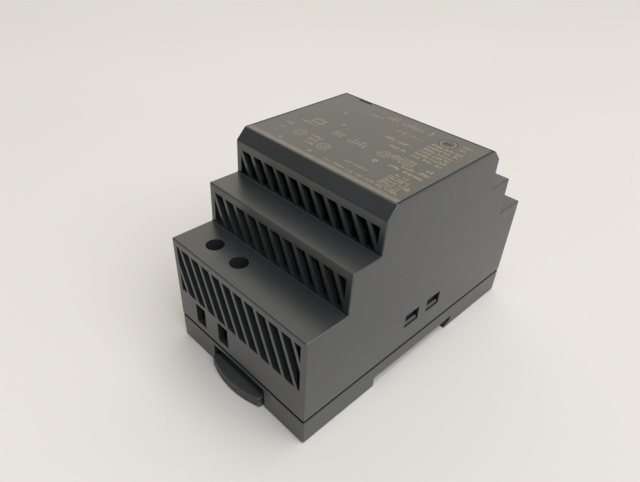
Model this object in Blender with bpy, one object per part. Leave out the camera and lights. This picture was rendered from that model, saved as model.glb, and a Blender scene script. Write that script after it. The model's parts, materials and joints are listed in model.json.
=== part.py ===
"""DIN rail power supply, three modules wide, that clips onto a 35 mm top-hat rail.

Metres, +Z up. X runs along the rail, Y across it, with the input end at -Y and the output
end at +Y, and +Z points away from the rail. The origin is the middle of the rail seat.
"""

import math

import bmesh
import bpy
from mathutils import Matrix, Vector

MM = 0.001

# Outer form: a stepped housing whose two upper tiers sit a little towards the output end.
WIDTH = 52.5 * MM
LENGTH = 90.0 * MM
UNDERSIDE_Z = -3.5 * MM
SPLIT_Z = 5.1 * MM
TREAD_1_Z = 32.3 * MM
TREAD_2_Z = 44.2 * MM
CHAMFER_Z = 53.5 * MM
TOP_Z = 56.5 * MM
UPPER_SHIFT = 0.8 * MM
TIER_1_HALF = (45.0 * MM, 44.7 * MM)
TIER_2_HALF = (32.6 * MM, 32.2 * MM)
TIER_3_HALF = (22.9 * MM, 22.6 * MM)
TOP_HALF = 19.6 * MM
WALL = 1.7 * MM
EDGE_RADIUS = 0.45 * MM
SPLIT_GAP = 0.3 * MM
CLEARANCE = 0.3 * MM

# Slanted ventilation slots: lowest and highest point, pitch, place of one slot, and lean.
SLOT_WIDTH = 3.1 * MM
VENT_HALF = 24.4 * MM
WALL_VENT = (15.5 * MM, 30.3 * MM, 4.45 * MM, 0.06 * MM, 5.9 * MM)
RISER_1_VENT = (32.7 * MM, 41.9 * MM, 4.55 * MM, -1.3 * MM, 4.6 * MM)
RISER_2_VENT = (44.6 * MM, 51.2 * MM, 4.55 * MM, -1.1 * MM, 3.8 * MM)

# Rail channel for a 35 mm rail with a 1 mm flange.
CHANNEL_NEAR_Y = -18.1 * MM
CHANNEL_FAR_Y = 18.6 * MM
HOOK_TIP_Y = 16.0 * MM
HOOK_TIP_RISE = 0.4 * MM
HOOK_ROOT_DROP = 1.1 * MM
CHANNEL_CHAMFER = 0.4 * MM
SEAT_Y = (-15.3 * MM, 15.8 * MM)
SEAT_RELIEF = 0.2 * MM

# Base shell
RIM_INSET = WALL + CLEARANCE
RIM_THICKNESS = 1.2 * MM
RIM_TOP_Z = 6.4 * MM
LEDGE_WIDTH = 1.25 * MM
LEDGE_Z = 4.9 * MM
NEAR_FLOOR_Z = 4.0 * MM
SEAT_FLOOR_Z = 1.8 * MM
FAR_FLOOR_Z = -1.7 * MM

# Snap hooks that rise from the base into windows in the cover's sides.
SNAP_Y = (-4.65 * MM, 5.05 * MM)
SNAP_WIDTH = 5.2 * MM
SNAP_WINDOW_WIDTH = 5.9 * MM
SNAP_WINDOW_Z = (12.4 * MM, 16.9 * MM)
SNAP_REACH = WIDTH / 2 - 0.3 * MM

# Rail latch, a slider under the base at the input end.
LATCH_HALF = 10.4 * MM
LATCH_LOWER_HALF = 8.9 * MM
LATCH_BOTTOM_Z = -3.2 * MM
LATCH_TOP_Z = -0.5 * MM
LATCH_FLANGE_Z = -2.1 * MM
LATCH_NOSE_Y = -15.6 * MM
LATCH_NOSE_Z = -1.3 * MM
LATCH_LIP_Y = -48.0 * MM
LATCH_LIP_SAG = 1.7 * MM
LATCH_LUG_Y = (-24.0 * MM, -22.5 * MM)
SPRING_RADIUS = 1.0 * MM
SPRING_WIRE = 0.2 * MM
SPRING_Z = 1.05 * MM
SPRING_TURNS = 6
SPRING_ENDS_Y = (-34.1 * MM, -24.5 * MM)

# Pocket in the base that the latch and its spring sit in.
MOUTH_WALL_Y = -43.2 * MM
MOUTH_BACK_Y = -36.0 * MM
MOUTH_TOP_Z = 2.8 * MM
SLIDEWAY_END_Y = -20.0 * MM
SPRING_BAY_HALF = 4.0 * MM
SPRING_BAY_Y = -34.4 * MM
SPRING_BAY_TOP_Z = 2.6 * MM

# Boards
BOARD_BOTTOM_Z = 5.2 * MM
BOARD_TOP_Z = 6.8 * MM
BOARD_HALF = (22.7 * MM, 41.4 * MM)
PARTS_Z = BOARD_TOP_Z + CLEARANCE
CONTROL_BOARD_Y = (17.8 * MM, 19.0 * MM)
SHEET_Z = (4.4 * MM, 4.75 * MM)

# Screw terminals with rising clamps. Heights are above the board.
TERMINAL_PITCH = 10.16 * MM
INPUT_CENTRE = (-10.9 * MM, -38.0 * MM)
OUTPUT_CENTRE = (0.0, 38.0 * MM)
INPUT_POLES = 2
OUTPUT_POLES = 4
BLOCK_HALF_DEPTH = 4.8 * MM
BLOCK_HEIGHT = 15.5 * MM
CAVITY_HALF_WIDTH = 3.4 * MM
CAVITY_Y = (-2.9 * MM, 4.0 * MM)
CAVITY_HEIGHT = 12.0 * MM
WELL_FLOOR = 13.1 * MM
WELL_RADIUS = 2.6 * MM
WIRE_HOLE_WIDTH = 4.2 * MM
WIRE_HOLE_Z = (7.6 * MM, 14.2 * MM)
CLAMP_HALF = (3.1 * MM, 2.6 * MM)
CLAMP_Z = (0.6 * MM, 9.2 * MM)
CLAMP_WINDOW_Z = (1.6 * MM, 8.0 * MM)
CLAMP_WINDOW_HALF = 2.05 * MM
CONTACT_HALF_WIDTH = 1.75 * MM
CONTACT_BAR_Z = (6.9 * MM, 7.7 * MM)
CONTACT_LEG_Y = (3.0 * MM, 3.7 * MM)
CONTACT_TIP_Z = -1.8 * MM
SCREW_HEAD_RADIUS = 2.2 * MM
SCREW_HEAD_Z = (13.4 * MM, 15.3 * MM)
SCREW_SHANK_RADIUS = 1.2 * MM
SCREW_TIP_Z = 8.0 * MM
THREAD_HOLE_RADIUS = SCREW_SHANK_RADIUS + CLEARANCE
DRIVER_HOLE_RADIUS = 2.5 * MM
DRIVER_TUBE_RADIUS = 3.4 * MM
DRIVER_TUBE_Z = BOARD_TOP_Z + BLOCK_HEIGHT + 0.8 * MM

# Voltage trimmer and status light, seen through the front face.
TRIMMER_PLACE = (15.8 * MM, 14.3 * MM)
TRIMMER_HOLE_RADIUS = 2.5 * MM
TRIMMER_ROTOR_RADIUS = 2.15 * MM
TRIMMER_BODY_HALF = 3.2 * MM
TRIMMER_BODY_Z = (46.0 * MM, 50.8 * MM)
TRIMMER_ROTOR_Z = (51.1 * MM, 56.2 * MM)
LED_X = -17.1 * MM
LED_WINDOW_HALF = 2.4 * MM
LED_WINDOW_Y = 18.7 * MM
LED_WINDOW_Z = 53.2 * MM

ROUND_SEGMENTS = 32
SMALL_SEGMENTS = 16
SMOOTH_ANGLE = math.radians(35)

AXES = {"X": (1, 2, 0), "Y": (0, 2, 1), "Z": (0, 1, 2)}


# ---------------------------------------------------------------- scene and materials


def clear_scene():
    """Removes the objects that the scene starts with."""
    for obj in list(bpy.data.objects):
        bpy.data.objects.remove(obj, do_unlink=True)


def material(name, colour, roughness, metallic=0.0):
    """A Principled material; asking for the same name twice gives the same material."""
    existing = bpy.data.materials.get(name)
    if existing:
        return existing
    made = bpy.data.materials.new(name)
    made.use_nodes = True
    made.diffuse_color = (*colour, 1.0)
    shader = made.node_tree.nodes["Principled BSDF"]
    shader.inputs["Base Color"].default_value = (*colour, 1.0)
    shader.inputs["Roughness"].default_value = roughness
    shader.inputs["Metallic"].default_value = metallic
    return made


def housing_plastic():
    return material("charcoal_plastic", (0.060, 0.062, 0.064), 0.45)


def terminal_plastic():
    return material("terminal_plastic", (0.020, 0.022, 0.024), 0.50)


def component_plastic():
    return material("component_plastic", (0.015, 0.015, 0.016), 0.55)


def plated_steel():
    return material("plated_steel", (0.62, 0.62, 0.60), 0.30, 1.0)


def spring_steel():
    return material("spring_steel", (0.50, 0.50, 0.50), 0.28, 1.0)


def tinned_brass():
    return material("tinned_brass", (0.66, 0.60, 0.46), 0.32, 1.0)


def aluminium():
    return material("aluminium", (0.70, 0.71, 0.72), 0.38, 1.0)


def board_laminate():
    return material("board_laminate", (0.05, 0.16, 0.07), 0.50)


def ferrite():
    return material("ferrite", (0.045, 0.042, 0.040), 0.65)


def copper_wire():
    return material("copper_wire", (0.72, 0.33, 0.12), 0.35, 1.0)


# ---------------------------------------------------------------- mesh building blocks


def point_on(axis, first, second, along):
    """The 3D point whose place along the axis is given, with its other two coordinates."""
    a, b, c = AXES[axis]
    place = [0.0, 0.0, 0.0]
    place[a], place[b], place[c] = first, second, along
    return Vector(place)


def add_box(bm, low, high):
    """A box between two opposite corners."""
    low, high = Vector(low), Vector(high)
    size = Matrix.Diagonal((*(high - low), 1.0))
    bmesh.ops.create_cube(bm, size=1.0, matrix=Matrix.Translation((low + high) / 2) @ size)


def add_prism(bm, outline, axis, start, end):
    """A closed outline carried straight along an axis."""
    loop = [bm.verts.new(point_on(axis, a, b, start)) for a, b in outline]
    face = bm.faces.new(loop)
    grown = bmesh.ops.extrude_face_region(bm, geom=[face])["geom"]
    moved = [item for item in grown if isinstance(item, bmesh.types.BMVert)]
    bmesh.ops.translate(bm, verts=moved, vec=point_on(axis, 0.0, 0.0, end - start))


def add_turned(bm, profile, centre=(0.0, 0.0), segments=SMALL_SEGMENTS):
    """A solid turned about a vertical axis. The profile runs (radius, height), axis to axis."""
    rings = []
    for radius, height in profile:
        count = segments if radius > 0 else 1
        angles = [2 * math.pi * step / segments for step in range(count)]
        rings.append([
            bm.verts.new((
                centre[0] + radius * math.cos(angle),
                centre[1] + radius * math.sin(angle),
                height,
            ))
            for angle in angles
        ])
    for ring, following in zip(rings, rings[1:]):
        for step in range(segments):
            after = (step + 1) % segments
            corners = [
                ring[step % len(ring)],
                ring[after % len(ring)],
                following[after % len(following)],
                following[step % len(following)],
            ]
            bm.faces.new(list(dict.fromkeys(corners)))


def add_rod(bm, radius, low, high, centre=(0.0, 0.0), segments=SMALL_SEGMENTS):
    """A plain upright cylinder."""
    add_turned(bm, [(0, low), (radius, low), (radius, high), (0, high)], centre, segments)


def add_loft(bm, loops):
    """A solid skinned over a stack of loops that have equally many points."""
    rings = [[bm.verts.new(point) for point in loop] for loop in loops]
    count = len(rings[0])
    for ring, following in zip(rings, rings[1:]):
        for step in range(count):
            after = (step + 1) % count
            bm.faces.new((ring[step], ring[after], following[after], following[step]))
    bm.faces.new(rings[0])
    bm.faces.new(rings[-1])


def make_object(name, bm, finish, place=(0.0, 0.0, 0.0), parent=None, smooth=False):
    """Turns a finished bmesh into a named object with one material."""
    bmesh.ops.recalc_face_normals(bm, faces=bm.faces)
    mesh = bpy.data.meshes.new(name)
    bm.to_mesh(mesh)
    bm.free()
    mesh.materials.append(finish)
    if smooth:
        mesh.shade_smooth()
        mesh.set_sharp_from_angle(angle=SMOOTH_ANGLE)
    obj = bpy.data.objects.new(name, mesh)
    obj.location = place
    obj.parent = parent
    bpy.context.scene.collection.objects.link(obj)
    return obj


def make_group(name, place, turn=0.0):
    """An empty that carries the pieces of one sub-assembly."""
    empty = bpy.data.objects.new(name, None)
    empty.location = place
    empty.rotation_euler.z = turn
    empty.empty_display_size = 5 * MM
    bpy.context.scene.collection.objects.link(empty)
    return empty


def round_edges(obj, width, segments=2):
    """A Bevel on every edge that turns more than the smoothing angle."""
    bevel = obj.modifiers.new("rounded_edges", "BEVEL")
    bevel.width = width
    bevel.segments = segments
    bevel.limit_method = "ANGLE"
    bevel.angle_limit = math.radians(30)


def combine(obj, operation, helper):
    """Adds a Boolean with a helper object that stays out of the finished part."""
    helper.hide_render = True
    helper.display_type = "WIRE"
    boolean = obj.modifiers.new(helper.name, "BOOLEAN")
    boolean.operation = operation
    boolean.solver = "EXACT"
    boolean.object = helper


def cut(obj, name, build, *arguments):
    """Cuts away the shapes that a function adds to an empty bmesh."""
    bm = bmesh.new()
    build(bm, *arguments)
    helper = make_object(name, bm, obj.data.materials[0], obj.location, obj.parent)
    combine(obj, "DIFFERENCE", helper)


def grow(obj, name, build, *arguments):
    """Joins on the shapes that a function adds to an empty bmesh."""
    bm = bmesh.new()
    build(bm, *arguments)
    helper = make_object(name, bm, obj.data.materials[0], obj.location, obj.parent)
    combine(obj, "UNION", helper)


# ---------------------------------------------------------------- top cover


def tier_points(sign, inset, bottom):
    """One end of the stepped outline as (y, z), from the split upwards."""
    slant = inset * math.tan(math.radians(22.5))
    lower = [
        (TIER_1_HALF[0] - inset, bottom),
        (TIER_1_HALF[1] - inset, TREAD_1_Z - inset),
    ]
    upper = [
        (TIER_2_HALF[0] - inset, TREAD_1_Z - inset),
        (TIER_2_HALF[1] - inset, TREAD_2_Z - inset),
        (TIER_3_HALF[0] - inset, TREAD_2_Z - inset),
        (TIER_3_HALF[1] - inset, CHAMFER_Z - slant),
        (TOP_HALF - slant, TOP_Z - inset),
    ]
    return [(sign * y, z) for y, z in lower] + [(UPPER_SHIFT + sign * y, z) for y, z in upper]


def cover_outline(inset, bottom):
    """The stepped outline as (y, z), moved inwards by an inset."""
    near = tier_points(-1, inset, bottom)
    far = tier_points(1, inset, bottom)
    return near + far[::-1]


def keep_inside(outline, limit, sign):
    """The part of a convex (x, z) outline where sign * x is at most the limit."""
    kept = []
    for (x0, z0), (x1, z1) in zip(outline, outline[1:] + outline[:1]):
        start_in, end_in = sign * x0 <= limit, sign * x1 <= limit
        if start_in:
            kept.append((x0, z0))
        if start_in != end_in:
            share = (sign * limit - x0) / (x1 - x0)
            kept.append((sign * limit, z0 + share * (z1 - z0)))
    return kept


def slot_outline(vent, top_left):
    """One slanted slot as (x, z), cut short where it would cross the band's sides."""
    low, high, _, _, lean = vent
    top_right = top_left + SLOT_WIDTH
    corners = [(top_left, high), (top_right, high), (top_right + lean, low), (top_left + lean, low)]
    return keep_inside(keep_inside(corners, VENT_HALF, 1), VENT_HALF, -1)


def add_vent(bm, vent, wall_y, sign):
    """The slots of one band, cut along Y through a wall. The far end is the near end turned."""
    _, _, pitch, place, lean = vent
    reach = 2 * WALL
    smallest_corner = 0.6 * MM
    first = math.ceil((-VENT_HALF - SLOT_WIDTH - lean - place) / pitch)
    last = math.floor((VENT_HALF - place) / pitch)
    for number in range(first, last + 1):
        top_left = place + number * pitch
        if top_left + SLOT_WIDTH + lean < -VENT_HALF + smallest_corner:
            continue
        if top_left > VENT_HALF - smallest_corner:
            continue
        outline = [(-sign * x, z) for x, z in slot_outline(vent, top_left)]
        add_prism(bm, outline, "Y", wall_y - reach, wall_y + reach)


def add_vents(bm):
    for sign in (-1, 1):
        add_vent(bm, WALL_VENT, sign * TIER_1_HALF[0], sign)
        add_vent(bm, RISER_1_VENT, UPPER_SHIFT + sign * TIER_2_HALF[0], sign)
        add_vent(bm, RISER_2_VENT, UPPER_SHIFT + sign * TIER_3_HALF[0], sign)


def terminal_places():
    """The (x, y) of every terminal screw, input end first."""
    places = []
    for centre, poles in ((INPUT_CENTRE, INPUT_POLES), (OUTPUT_CENTRE, OUTPUT_POLES)):
        for x in pole_offsets(poles):
            places.append((centre[0] + x, centre[1]))
    return places


def pole_offsets(poles):
    return [(pole - (poles - 1) / 2) * TERMINAL_PITCH for pole in range(poles)]


def add_driver_tubes(bm):
    for place in terminal_places():
        add_rod(bm, DRIVER_TUBE_RADIUS, DRIVER_TUBE_Z, TREAD_1_Z - WALL / 2, place)


def add_cover_openings(bm):
    """Screwdriver holes, wire holes, snap windows, and the trimmer and light openings."""
    for x, y in terminal_places():
        add_rod(bm, DRIVER_HOLE_RADIUS, DRIVER_TUBE_Z - 1 * MM, TREAD_1_Z + 1 * MM, (x, y))
        outer_y = math.copysign(LENGTH / 2, y)
        half = WIRE_HOLE_WIDTH / 2
        ends = sorted((outer_y - math.copysign(2 * WALL, y), outer_y + math.copysign(WALL, y)))
        add_box(bm, (x - half, ends[0], WIRE_HOLE_Z[0]), (x + half, ends[1], WIRE_HOLE_Z[1]))
    for side in (-1, 1):
        for y in SNAP_Y:
            xs = sorted((side * (WIDTH / 2 - 2 * WALL), side * (WIDTH / 2 + WALL)))
            half = SNAP_WINDOW_WIDTH / 2
            add_box(bm, (xs[0], y - half, SNAP_WINDOW_Z[0]), (xs[1], y + half, SNAP_WINDOW_Z[1]))
    add_rod(bm, TRIMMER_HOLE_RADIUS, TOP_Z - 2 * WALL, TOP_Z + WALL, TRIMMER_PLACE, ROUND_SEGMENTS)
    add_box(
        bm,
        (LED_X - LED_WINDOW_HALF, LED_WINDOW_Y, LED_WINDOW_Z),
        (LED_X + LED_WINDOW_HALF, LED_WINDOW_Y + 3 * WALL, TOP_Z + WALL),
    )


def build_top_cover():
    bottom = SPLIT_Z + SPLIT_GAP / 2
    bm = bmesh.new()
    add_prism(bm, cover_outline(0.0, bottom), "X", -WIDTH / 2, WIDTH / 2)
    cover = make_object("top_cover", bm, housing_plastic())
    round_edges(cover, EDGE_RADIUS)
    inner_half = WIDTH / 2 - WALL
    inner = cover_outline(WALL, bottom - WALL)
    cut(cover, "cover_inside", add_prism, inner, "X", -inner_half, inner_half)
    grow(cover, "driver_tubes", add_driver_tubes)
    cut(cover, "cover_vents", add_vents)
    cut(cover, "cover_openings", add_cover_openings)


# ---------------------------------------------------------------- base shell


def channel_outline():
    """The rail channel as (y, z): square at the latch side, undercut at the fixed hook.

    The seat stands a little proud of the ceiling beside the latch's nose and above the hook.
    """
    below = UNDERSIDE_Z - 2 * MM
    return [
        (CHANNEL_NEAR_Y, below),
        (CHANNEL_NEAR_Y, -CHANNEL_CHAMFER),
        (CHANNEL_NEAR_Y + CHANNEL_CHAMFER, SEAT_RELIEF),
        (SEAT_Y[0] - SEAT_RELIEF, SEAT_RELIEF),
        (SEAT_Y[0], 0.0),
        (SEAT_Y[1], 0.0),
        (SEAT_Y[1] + SEAT_RELIEF, SEAT_RELIEF),
        (CHANNEL_FAR_Y, SEAT_RELIEF),
        (CHANNEL_FAR_Y, -HOOK_ROOT_DROP),
        (HOOK_TIP_Y, UNDERSIDE_Z + HOOK_TIP_RISE),
        (HOOK_TIP_Y, below),
    ]


def floor_outline(half_length):
    """The hollow under the board as (y, z), with a floor that follows the feet and channel."""
    return [
        (-half_length, LEDGE_Z + 1 * MM),
        (-half_length, NEAR_FLOOR_Z),
        (CHANNEL_NEAR_Y + 1 * MM, NEAR_FLOOR_Z),
        (CHANNEL_NEAR_Y + 1 * MM, SEAT_FLOOR_Z),
        (CHANNEL_FAR_Y + 2 * MM, SEAT_FLOOR_Z),
        (CHANNEL_FAR_Y + 2 * MM, FAR_FLOOR_Z),
        (half_length, FAR_FLOOR_Z),
        (half_length, LEDGE_Z + 1 * MM),
    ]


def latch_pocket():
    """The boxes that make room for the latch: name, lowest corner and highest corner."""
    half = LATCH_HALF + 0.5 * MM
    lower = LATCH_LOWER_HALF + CLEARANCE
    below = UNDERSIDE_Z - 2 * MM
    outside = -LENGTH / 2 - 2 * MM
    channel = CHANNEL_NEAR_Y + 1.1 * MM
    plate_top = LATCH_TOP_Z + CLEARANCE
    ledge = LATCH_FLANGE_Z - CLEARANCE
    front = MOUTH_WALL_Y - 0.8 * MM
    return (
        ("latch_mouth", (-half, outside, below), (half, MOUTH_WALL_Y, MOUTH_TOP_Z)),
        ("mouth_depth", (-half, front, plate_top - 1 * MM), (half, MOUTH_BACK_Y, MOUTH_TOP_Z)),
        ("latch_slideway", (-half, front, ledge), (half, SLIDEWAY_END_Y, plate_top)),
        ("latch_underside", (-lower, front, below), (lower, channel, ledge + 0.5 * MM)),
        ("nose_passage", (-lower, SLIDEWAY_END_Y - 1 * MM, below), (lower, channel, plate_top)),
        (
            "spring_bay",
            (-SPRING_BAY_HALF, SPRING_BAY_Y, plate_top - 0.5 * MM),
            (SPRING_BAY_HALF, SLIDEWAY_END_Y, SPRING_BAY_TOP_Z),
        ),
    )


def add_snap_hooks(bm):
    """Four upright arms, each with an outward hook whose upper face is a ramp."""
    inner = WIDTH / 2 - RIM_INSET - RIM_THICKNESS
    outer = WIDTH / 2 - RIM_INSET
    root = LEDGE_Z - 1 * MM
    shelf = SNAP_WINDOW_Z[0] + 0.4 * MM
    tip = SNAP_WINDOW_Z[1] - 0.5 * MM
    profile = [
        (inner, root),
        (outer, root),
        (outer, shelf),
        (SNAP_REACH, shelf),
        (SNAP_REACH, shelf + 0.5 * MM),
        (outer + 0.2 * MM, tip),
        (inner, tip),
    ]
    for side in (-1, 1):
        for y in SNAP_Y:
            outline = [(side * x, z) for x, z in profile]
            add_prism(bm, outline, "Y", y - SNAP_WIDTH / 2, y + SNAP_WIDTH / 2)


def build_base_shell():
    top = SPLIT_Z - SPLIT_GAP / 2
    bm = bmesh.new()
    add_box(bm, (-WIDTH / 2, -LENGTH / 2, UNDERSIDE_Z), (WIDTH / 2, LENGTH / 2, top))
    base = make_object("base_shell", bm, housing_plastic())
    round_edges(base, EDGE_RADIUS)

    rim_x, rim_y = WIDTH / 2 - RIM_INSET, LENGTH / 2 - RIM_INSET
    grow(base, "base_rim", add_box, (-rim_x, -rim_y, top - 1 * MM), (rim_x, rim_y, RIM_TOP_Z))
    bay_x, bay_y = rim_x - RIM_THICKNESS, rim_y - RIM_THICKNESS
    cut(base, "board_bay", add_box, (-bay_x, -bay_y, LEDGE_Z), (bay_x, bay_y, RIM_TOP_Z + 1 * MM))
    hollow_x, hollow_y = bay_x - LEDGE_WIDTH, bay_y - LEDGE_WIDTH
    cut(base, "floor_hollow", add_prism, floor_outline(hollow_y), "X", -hollow_x, hollow_x)
    cut(base, "rail_channel", add_prism, channel_outline(), "X", -WIDTH, WIDTH)
    for name, low, high in latch_pocket():
        cut(base, name, add_box, low, high)
    grow(base, "snap_hooks", add_snap_hooks)


# ---------------------------------------------------------------- rail latch


def lip_outline(shrink, z):
    """The latch's finger lip as a loop: a shallow arc with rounded ends, square at the back."""
    half = LATCH_HALF - shrink
    front = LATCH_LIP_Y + shrink
    corner = 1.2 * MM
    chord_half = half - corner
    radius = (chord_half**2 + LATCH_LIP_SAG**2) / (2 * LATCH_LIP_SAG)
    reach = math.asin(chord_half / radius)
    steps = 12
    arc = []
    for step in range(steps + 1):
        angle = reach * (2 * step / steps - 1)
        arc.append((radius * math.sin(angle), front + radius * (1 - math.cos(angle))))
    shoulder = front + LATCH_LIP_SAG
    left = [(-half, shoulder + corner), (-half + 0.35 * corner, shoulder + 0.35 * corner)]
    right = [(-x, y) for x, y in reversed(left)]
    back = -43.5 * MM
    outline = [(-half, back), *left, *arc, *right, (half, back)]
    return [(x, y, z) for x, y in outline]


def latch_lip_loops():
    """Loops from bottom to top; two shallow grooves run round the lip's outer face."""
    groove = 0.25 * MM
    edge = 0.2 * MM
    height = LATCH_TOP_Z - LATCH_BOTTOM_Z
    stations = [
        (0.00, edge), (0.08, 0.0), (0.26, 0.0), (0.31, groove), (0.39, groove), (0.44, 0.0),
        (0.58, 0.0), (0.63, groove), (0.71, groove), (0.76, 0.0), (0.94, 0.0), (1.00, edge),
    ]
    return [lip_outline(shrink, LATCH_BOTTOM_Z + share * height) for share, shrink in stations]


def add_latch_tongue(bm):
    """The sliding plate behind the lip, with its sloped nose, as one cross-section in (y, z)."""
    nose_root = CHANNEL_NEAR_Y - 1.4 * MM
    outline = [
        (-44.5 * MM, LATCH_BOTTOM_Z),
        (LATCH_NOSE_Y - 0.6 * MM, LATCH_BOTTOM_Z),
        (LATCH_NOSE_Y, LATCH_BOTTOM_Z + 0.7 * MM),
        (LATCH_NOSE_Y, LATCH_NOSE_Z),
        (nose_root, LATCH_NOSE_Z),
        (nose_root, LATCH_TOP_Z),
        (-44.5 * MM, LATCH_TOP_Z),
    ]
    add_prism(bm, outline, "X", -LATCH_LOWER_HALF, LATCH_LOWER_HALF)


def build_rail_latch():
    latch_bm = bmesh.new()
    add_loft(latch_bm, latch_lip_loops())
    latch = make_object("rail_latch", latch_bm, housing_plastic(), smooth=True)
    grow(latch, "latch_tongue", add_latch_tongue)
    flange_low = (-LATCH_HALF, -42.9 * MM, LATCH_FLANGE_Z)
    flange_high = (LATCH_HALF, -25.0 * MM, LATCH_TOP_Z)
    grow(latch, "latch_flange", add_box, flange_low, flange_high)
    lug_low = (-3.4 * MM, LATCH_LUG_Y[0], LATCH_TOP_Z - 0.5 * MM)
    lug_high = (3.4 * MM, LATCH_LUG_Y[1], 2.2 * MM)
    grow(latch, "latch_lug", add_box, lug_low, lug_high)


def build_latch_spring():
    """A compression spring along Y, between the base and the latch's lug."""
    start, end = SPRING_ENDS_Y
    per_turn = 9
    sides = 4
    count = SPRING_TURNS * per_turn
    rise = (end - start) / count
    pitch_angle = math.atan(rise * per_turn / (2 * math.pi * SPRING_RADIUS))
    loops = []
    for step in range(count + 1):
        turn = 2 * math.pi * step / per_turn
        outward = Vector((math.cos(turn), 0.0, math.sin(turn)))
        tangent = Vector((-math.sin(turn), math.tan(pitch_angle), math.cos(turn))).normalized()
        across = outward.cross(tangent)
        centre = outward * SPRING_RADIUS + Vector((0.0, start + rise * step, SPRING_Z))
        loops.append([
            centre + SPRING_WIRE * (outward * math.cos(a) + across * math.sin(a))
            for a in (2 * math.pi * side / sides for side in range(sides))
        ])
    bm = bmesh.new()
    add_loft(bm, loops)
    make_object("latch_spring", bm, spring_steel(), smooth=True)


# ---------------------------------------------------------------- terminals


def add_clamp_cavities(bm, poles):
    for x in pole_offsets(poles):
        low = (x - CAVITY_HALF_WIDTH, CAVITY_Y[0], -1 * MM)
        add_box(bm, low, (x + CAVITY_HALF_WIDTH, CAVITY_Y[1], CAVITY_HEIGHT))


def add_screw_wells(bm, poles):
    shaft = THREAD_HOLE_RADIUS
    bottom, top = CAVITY_HEIGHT - 0.5 * MM, BLOCK_HEIGHT + 1 * MM
    profile = [
        (0, bottom), (shaft, bottom), (shaft, WELL_FLOOR),
        (WELL_RADIUS, WELL_FLOOR), (WELL_RADIUS, top), (0, top),
    ]
    for x in pole_offsets(poles):
        add_turned(bm, profile, (x, 0.0))


def add_wire_windows(bm, poles):
    low_z, high_z = (z - BOARD_TOP_Z for z in WIRE_HOLE_Z)
    half = WIRE_HOLE_WIDTH / 2
    for x in pole_offsets(poles):
        low = (x - half, -BLOCK_HALF_DEPTH - 1 * MM, low_z)
        add_box(bm, low, (x + half, CAVITY_Y[0] + 0.5 * MM, high_z))


def build_terminal_block(prefix, poles, group):
    half_width = poles * TERMINAL_PITCH / 2
    bm = bmesh.new()
    block_low = (-half_width, -BLOCK_HALF_DEPTH, CLEARANCE)
    add_box(bm, block_low, (half_width, BLOCK_HALF_DEPTH, BLOCK_HEIGHT))
    block = make_object(f"{prefix}_terminal_block", bm, terminal_plastic(), parent=group)
    round_edges(block, 0.3 * MM, 1)
    cut(block, f"{prefix}_cavities", add_clamp_cavities, poles)
    cut(block, f"{prefix}_wells", add_screw_wells, poles)
    cut(block, f"{prefix}_windows", add_wire_windows, poles)


def add_driver_slot(bm, radius, top, depth, width):
    add_box(bm, (-radius, -width / 2, top - depth), (radius, width / 2, top + depth))


def build_terminal_screw(name, x, group):
    """A slotted screw. Its origin is on its axis, level with the board."""
    low, high = SCREW_HEAD_Z
    rim = 0.3 * MM
    profile = [
        (0, SCREW_TIP_Z),
        (SCREW_SHANK_RADIUS - rim, SCREW_TIP_Z),
        (SCREW_SHANK_RADIUS, SCREW_TIP_Z + rim),
        (SCREW_SHANK_RADIUS, low),
        (SCREW_HEAD_RADIUS, low),
        (SCREW_HEAD_RADIUS, high - rim),
        (SCREW_HEAD_RADIUS - rim, high),
        (0, high),
    ]
    bm = bmesh.new()
    add_turned(bm, profile)
    screw = make_object(name, bm, plated_steel(), (x, 0, 0), group, smooth=True)
    cut(screw, f"{name}_slot", add_driver_slot, 2 * SCREW_HEAD_RADIUS, high, 1.1 * MM, 0.8 * MM)


def build_clamp(name, x, group):
    """A rising cage: a square loop round the contact, threaded on the screw."""
    half_x, half_y = CLAMP_HALF
    bm = bmesh.new()
    add_box(bm, (-half_x, -half_y, CLAMP_Z[0]), (half_x, half_y, CLAMP_Z[1]))
    clamp = make_object(name, bm, plated_steel(), (x, 0, 0), group)
    window_low = (-CLAMP_WINDOW_HALF, -2 * half_y, CLAMP_WINDOW_Z[0])
    window_high = (CLAMP_WINDOW_HALF, 2 * half_y, CLAMP_WINDOW_Z[1])
    cut(clamp, f"{name}_window", add_box, window_low, window_high)
    hole_ends = (CLAMP_WINDOW_Z[1] - 1 * MM, CLAMP_Z[1] + 1 * MM)
    cut(clamp, f"{name}_thread", add_rod, THREAD_HOLE_RADIUS, *hole_ends)


def build_contact(name, x, group):
    """The fixed current bar inside the cage, bent down behind it and through the board."""
    low, high = CONTACT_BAR_Z
    back, behind = CONTACT_LEG_Y
    outline = [
        (-2.3 * MM, low), (-2.3 * MM, high), (behind, high),
        (behind, CONTACT_TIP_Z), (back, CONTACT_TIP_Z), (back, low),
    ]
    bm = bmesh.new()
    add_prism(bm, outline, "X", -CONTACT_HALF_WIDTH, CONTACT_HALF_WIDTH)
    make_object(name, bm, tinned_brass(), (x, 0, 0), group)


def build_terminals():
    for prefix, centre, poles, turn in (
        ("input", INPUT_CENTRE, INPUT_POLES, 0.0),
        ("output", OUTPUT_CENTRE, OUTPUT_POLES, math.pi),
    ):
        group = make_group(f"{prefix}_terminals", (*centre, BOARD_TOP_Z), turn)
        build_terminal_block(prefix, poles, group)
        for number, x in enumerate(pole_offsets(poles), start=1):
            build_terminal_screw(f"{prefix}_screw_{number}", x, group)
            build_clamp(f"{prefix}_clamp_{number}", x, group)
            build_contact(f"{prefix}_contact_{number}", x, group)


# ---------------------------------------------------------------- boards and sheet


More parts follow.
